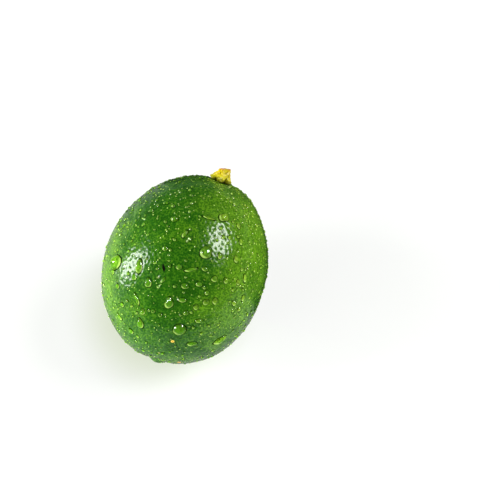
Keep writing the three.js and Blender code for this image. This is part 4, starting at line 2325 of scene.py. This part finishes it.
@dataclass
class Studio:
    """A plain white table in soft even light, with two softboxes.

    Attributes:
        table_mm: side of the table.
        sky: strength of the even light.
        backdrop: brightness of the sky where it is seen directly.
        card_span_deg: sides of the fruit that the dark card runs along, from the picture's right.
        card_reach_mm: its inner and outer radius.
        card_rise_mm: its height above the table.
        card_rays: corners along each of its edges.
        fill_faces: where the peel faces the fill lamp squarely.
        fill_mm: side of that lamp.
        fill_distance_mm: its distance from the peel.
        fill_watts: its power.
        softboxes: the lamps.
    """

    table_mm: float = 6000.0
    sky: float = 0.03
    backdrop: float = 1.0
    card_span_deg: tuple[float, float] = (-28.0, 98.0)
    card_reach_mm: tuple[float, float] = (12.0, 420.0)
    card_rise_mm: float = 0.2
    card_rays: int = 25
    fill_faces: Pixel = Pixel(108, 300)
    fill_mm: float = 700.0
    fill_distance_mm: float = 900.0
    fill_watts: float = 9.0
    softboxes: tuple[Softbox, ...] = (
        Softbox("left_window", Pixel(134, 262), (570, 1420), 1800, 37, 0.7),
        Softbox("right_window", Pixel(220.5, 237), (1060, 760), 1800, 34, 1.0),
    )

    def lamp_ways(self, sight: Sight) -> list[tuple[Array, float]]:
        """Row frame directions to the lamps, each with the strength of its painted light under
        drops.
        """
        return [(np.array(lamp.away(sight)[1]), lamp.painted_lens_shading) for lamp in self.softboxes]

    def build_table(self) -> None:
        """Make the table top at z = 0."""
        half = self.table_mm / 2 * MM
        corners = np.array([[-half, -half, 0], [half, -half, 0], [half, half, 0], [-half, half, 0]])
        table = mesh_object("table_top", corners, [[0, 1, 2, 3]], [OpalTable().build()])

    def build_dark_card(self, camera: PictureCamera) -> None:
        """Lay a dark card round the far right of the fruit, seen only in the peel's sheen.

        Args:
            camera: the camera, whose right and far side the card follows.
        """
        turn = math.radians(camera.azimuth_deg)
        angles = np.radians(np.linspace(*self.card_span_deg, self.card_rays)) + turn
        ring = np.stack([np.cos(angles), np.sin(angles), np.zeros_like(angles)], axis=-1)
        near, far = self.card_reach_mm
        corners = np.concatenate([ring * near, ring * far]) * MM + (0, 0, self.card_rise_mm * MM)
        count = len(ring)
        faces = [[i, i + count, i + count + 1, i + 1] for i in range(count - 1)]
        card = mesh_object("dark_card", corners, faces, [MattCard().build()])
        card.visible_camera = card.visible_shadow = False

    def build_fill(self, sight: Sight) -> None:
        """Light the left flank softly, without a sheen of its own.

        Args:
            sight: finds the place on the peel that the lamp faces.
        """
        point, outward = sight.peel_at(self.fill_faces)
        away = Vector(outward)
        place = Vector(point) + away * self.fill_distance_mm * MM
        size_mm = (self.fill_mm, self.fill_mm)
        lamp = area_lamp("left_fill", place, away, size_mm, self.fill_watts, "SQUARE")
        lamp.visible_glossy = False

    def build_sky(self) -> None:
        """Light the scene evenly from all round."""
        world = bpy.data.worlds.new("even_sky")
        world.use_nodes = True
        world.node_tree.nodes.clear()
        seen = add_node(world.node_tree, "LightPath").outputs["Is Camera Ray"]
        strength = add_node(
            world.node_tree,
            "MapRange",
            {"Value": seen, "To Min": self.sky, "To Max": self.backdrop},
        ).outputs["Result"]
        background = add_node(
            world.node_tree, "Background", {"Color": "#ffffff", "Strength": strength}
        )
        add_node(world.node_tree, "OutputWorld", {"Surface": background.outputs["Background"]})
        bpy.context.scene.world = world

    def build(self, sight: Sight, water: Sequence[Piece]) -> None:
        """Make the table, the even light and the lamps.

        Args:
            sight: finds places on the peel, to aim the lamps.
            water: the pieces of water.
        """
        wet = bpy.data.collections.new("wet")
        for piece in water:
            wet.objects.link(piece)
        self.build_table()
        self.build_dark_card(sight.camera)
        self.build_fill(sight)
        self.build_sky()
        for softbox in self.softboxes:
            softbox.build(sight, wet)
        bpy.context.scene.view_settings.view_transform = "Standard"


def main() -> None:
    """Build the fruit and the studio, and report each piece."""
    logging.basicConfig(level=logging.INFO, format="%(message)s")
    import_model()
    form = FruitForm()
    form.settle(*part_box("lime_fruit"))
    low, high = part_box("lime_fruit")
    camera = PictureCamera()
    camera.build((low + high) / 2)
    sight = Sight(form, camera)
    studio = Studio()
    marks = [blemish.place(sight) for blemish in BLEMISHES]
    peel = Peel(form).build(WaxyPeel(tuple(marks)).build())
    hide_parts("lime_fruit")
    calyx = CalyxButton(form).build(DriedCalyx().build())
    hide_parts("calyx")
    water_finishes = [RinseWater().build(), FloodedRind().build()]
    water = Rinse(form, sight, studio.lamp_ways(sight)).build(water_finishes)
    for piece in (peel, calyx, *water):
        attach(piece, "root")
        LOG.info("%s: %d faces", piece.name, len(piece.data.polygons))
    studio.build(sight, water)


if __name__ == "__main__":
    main()
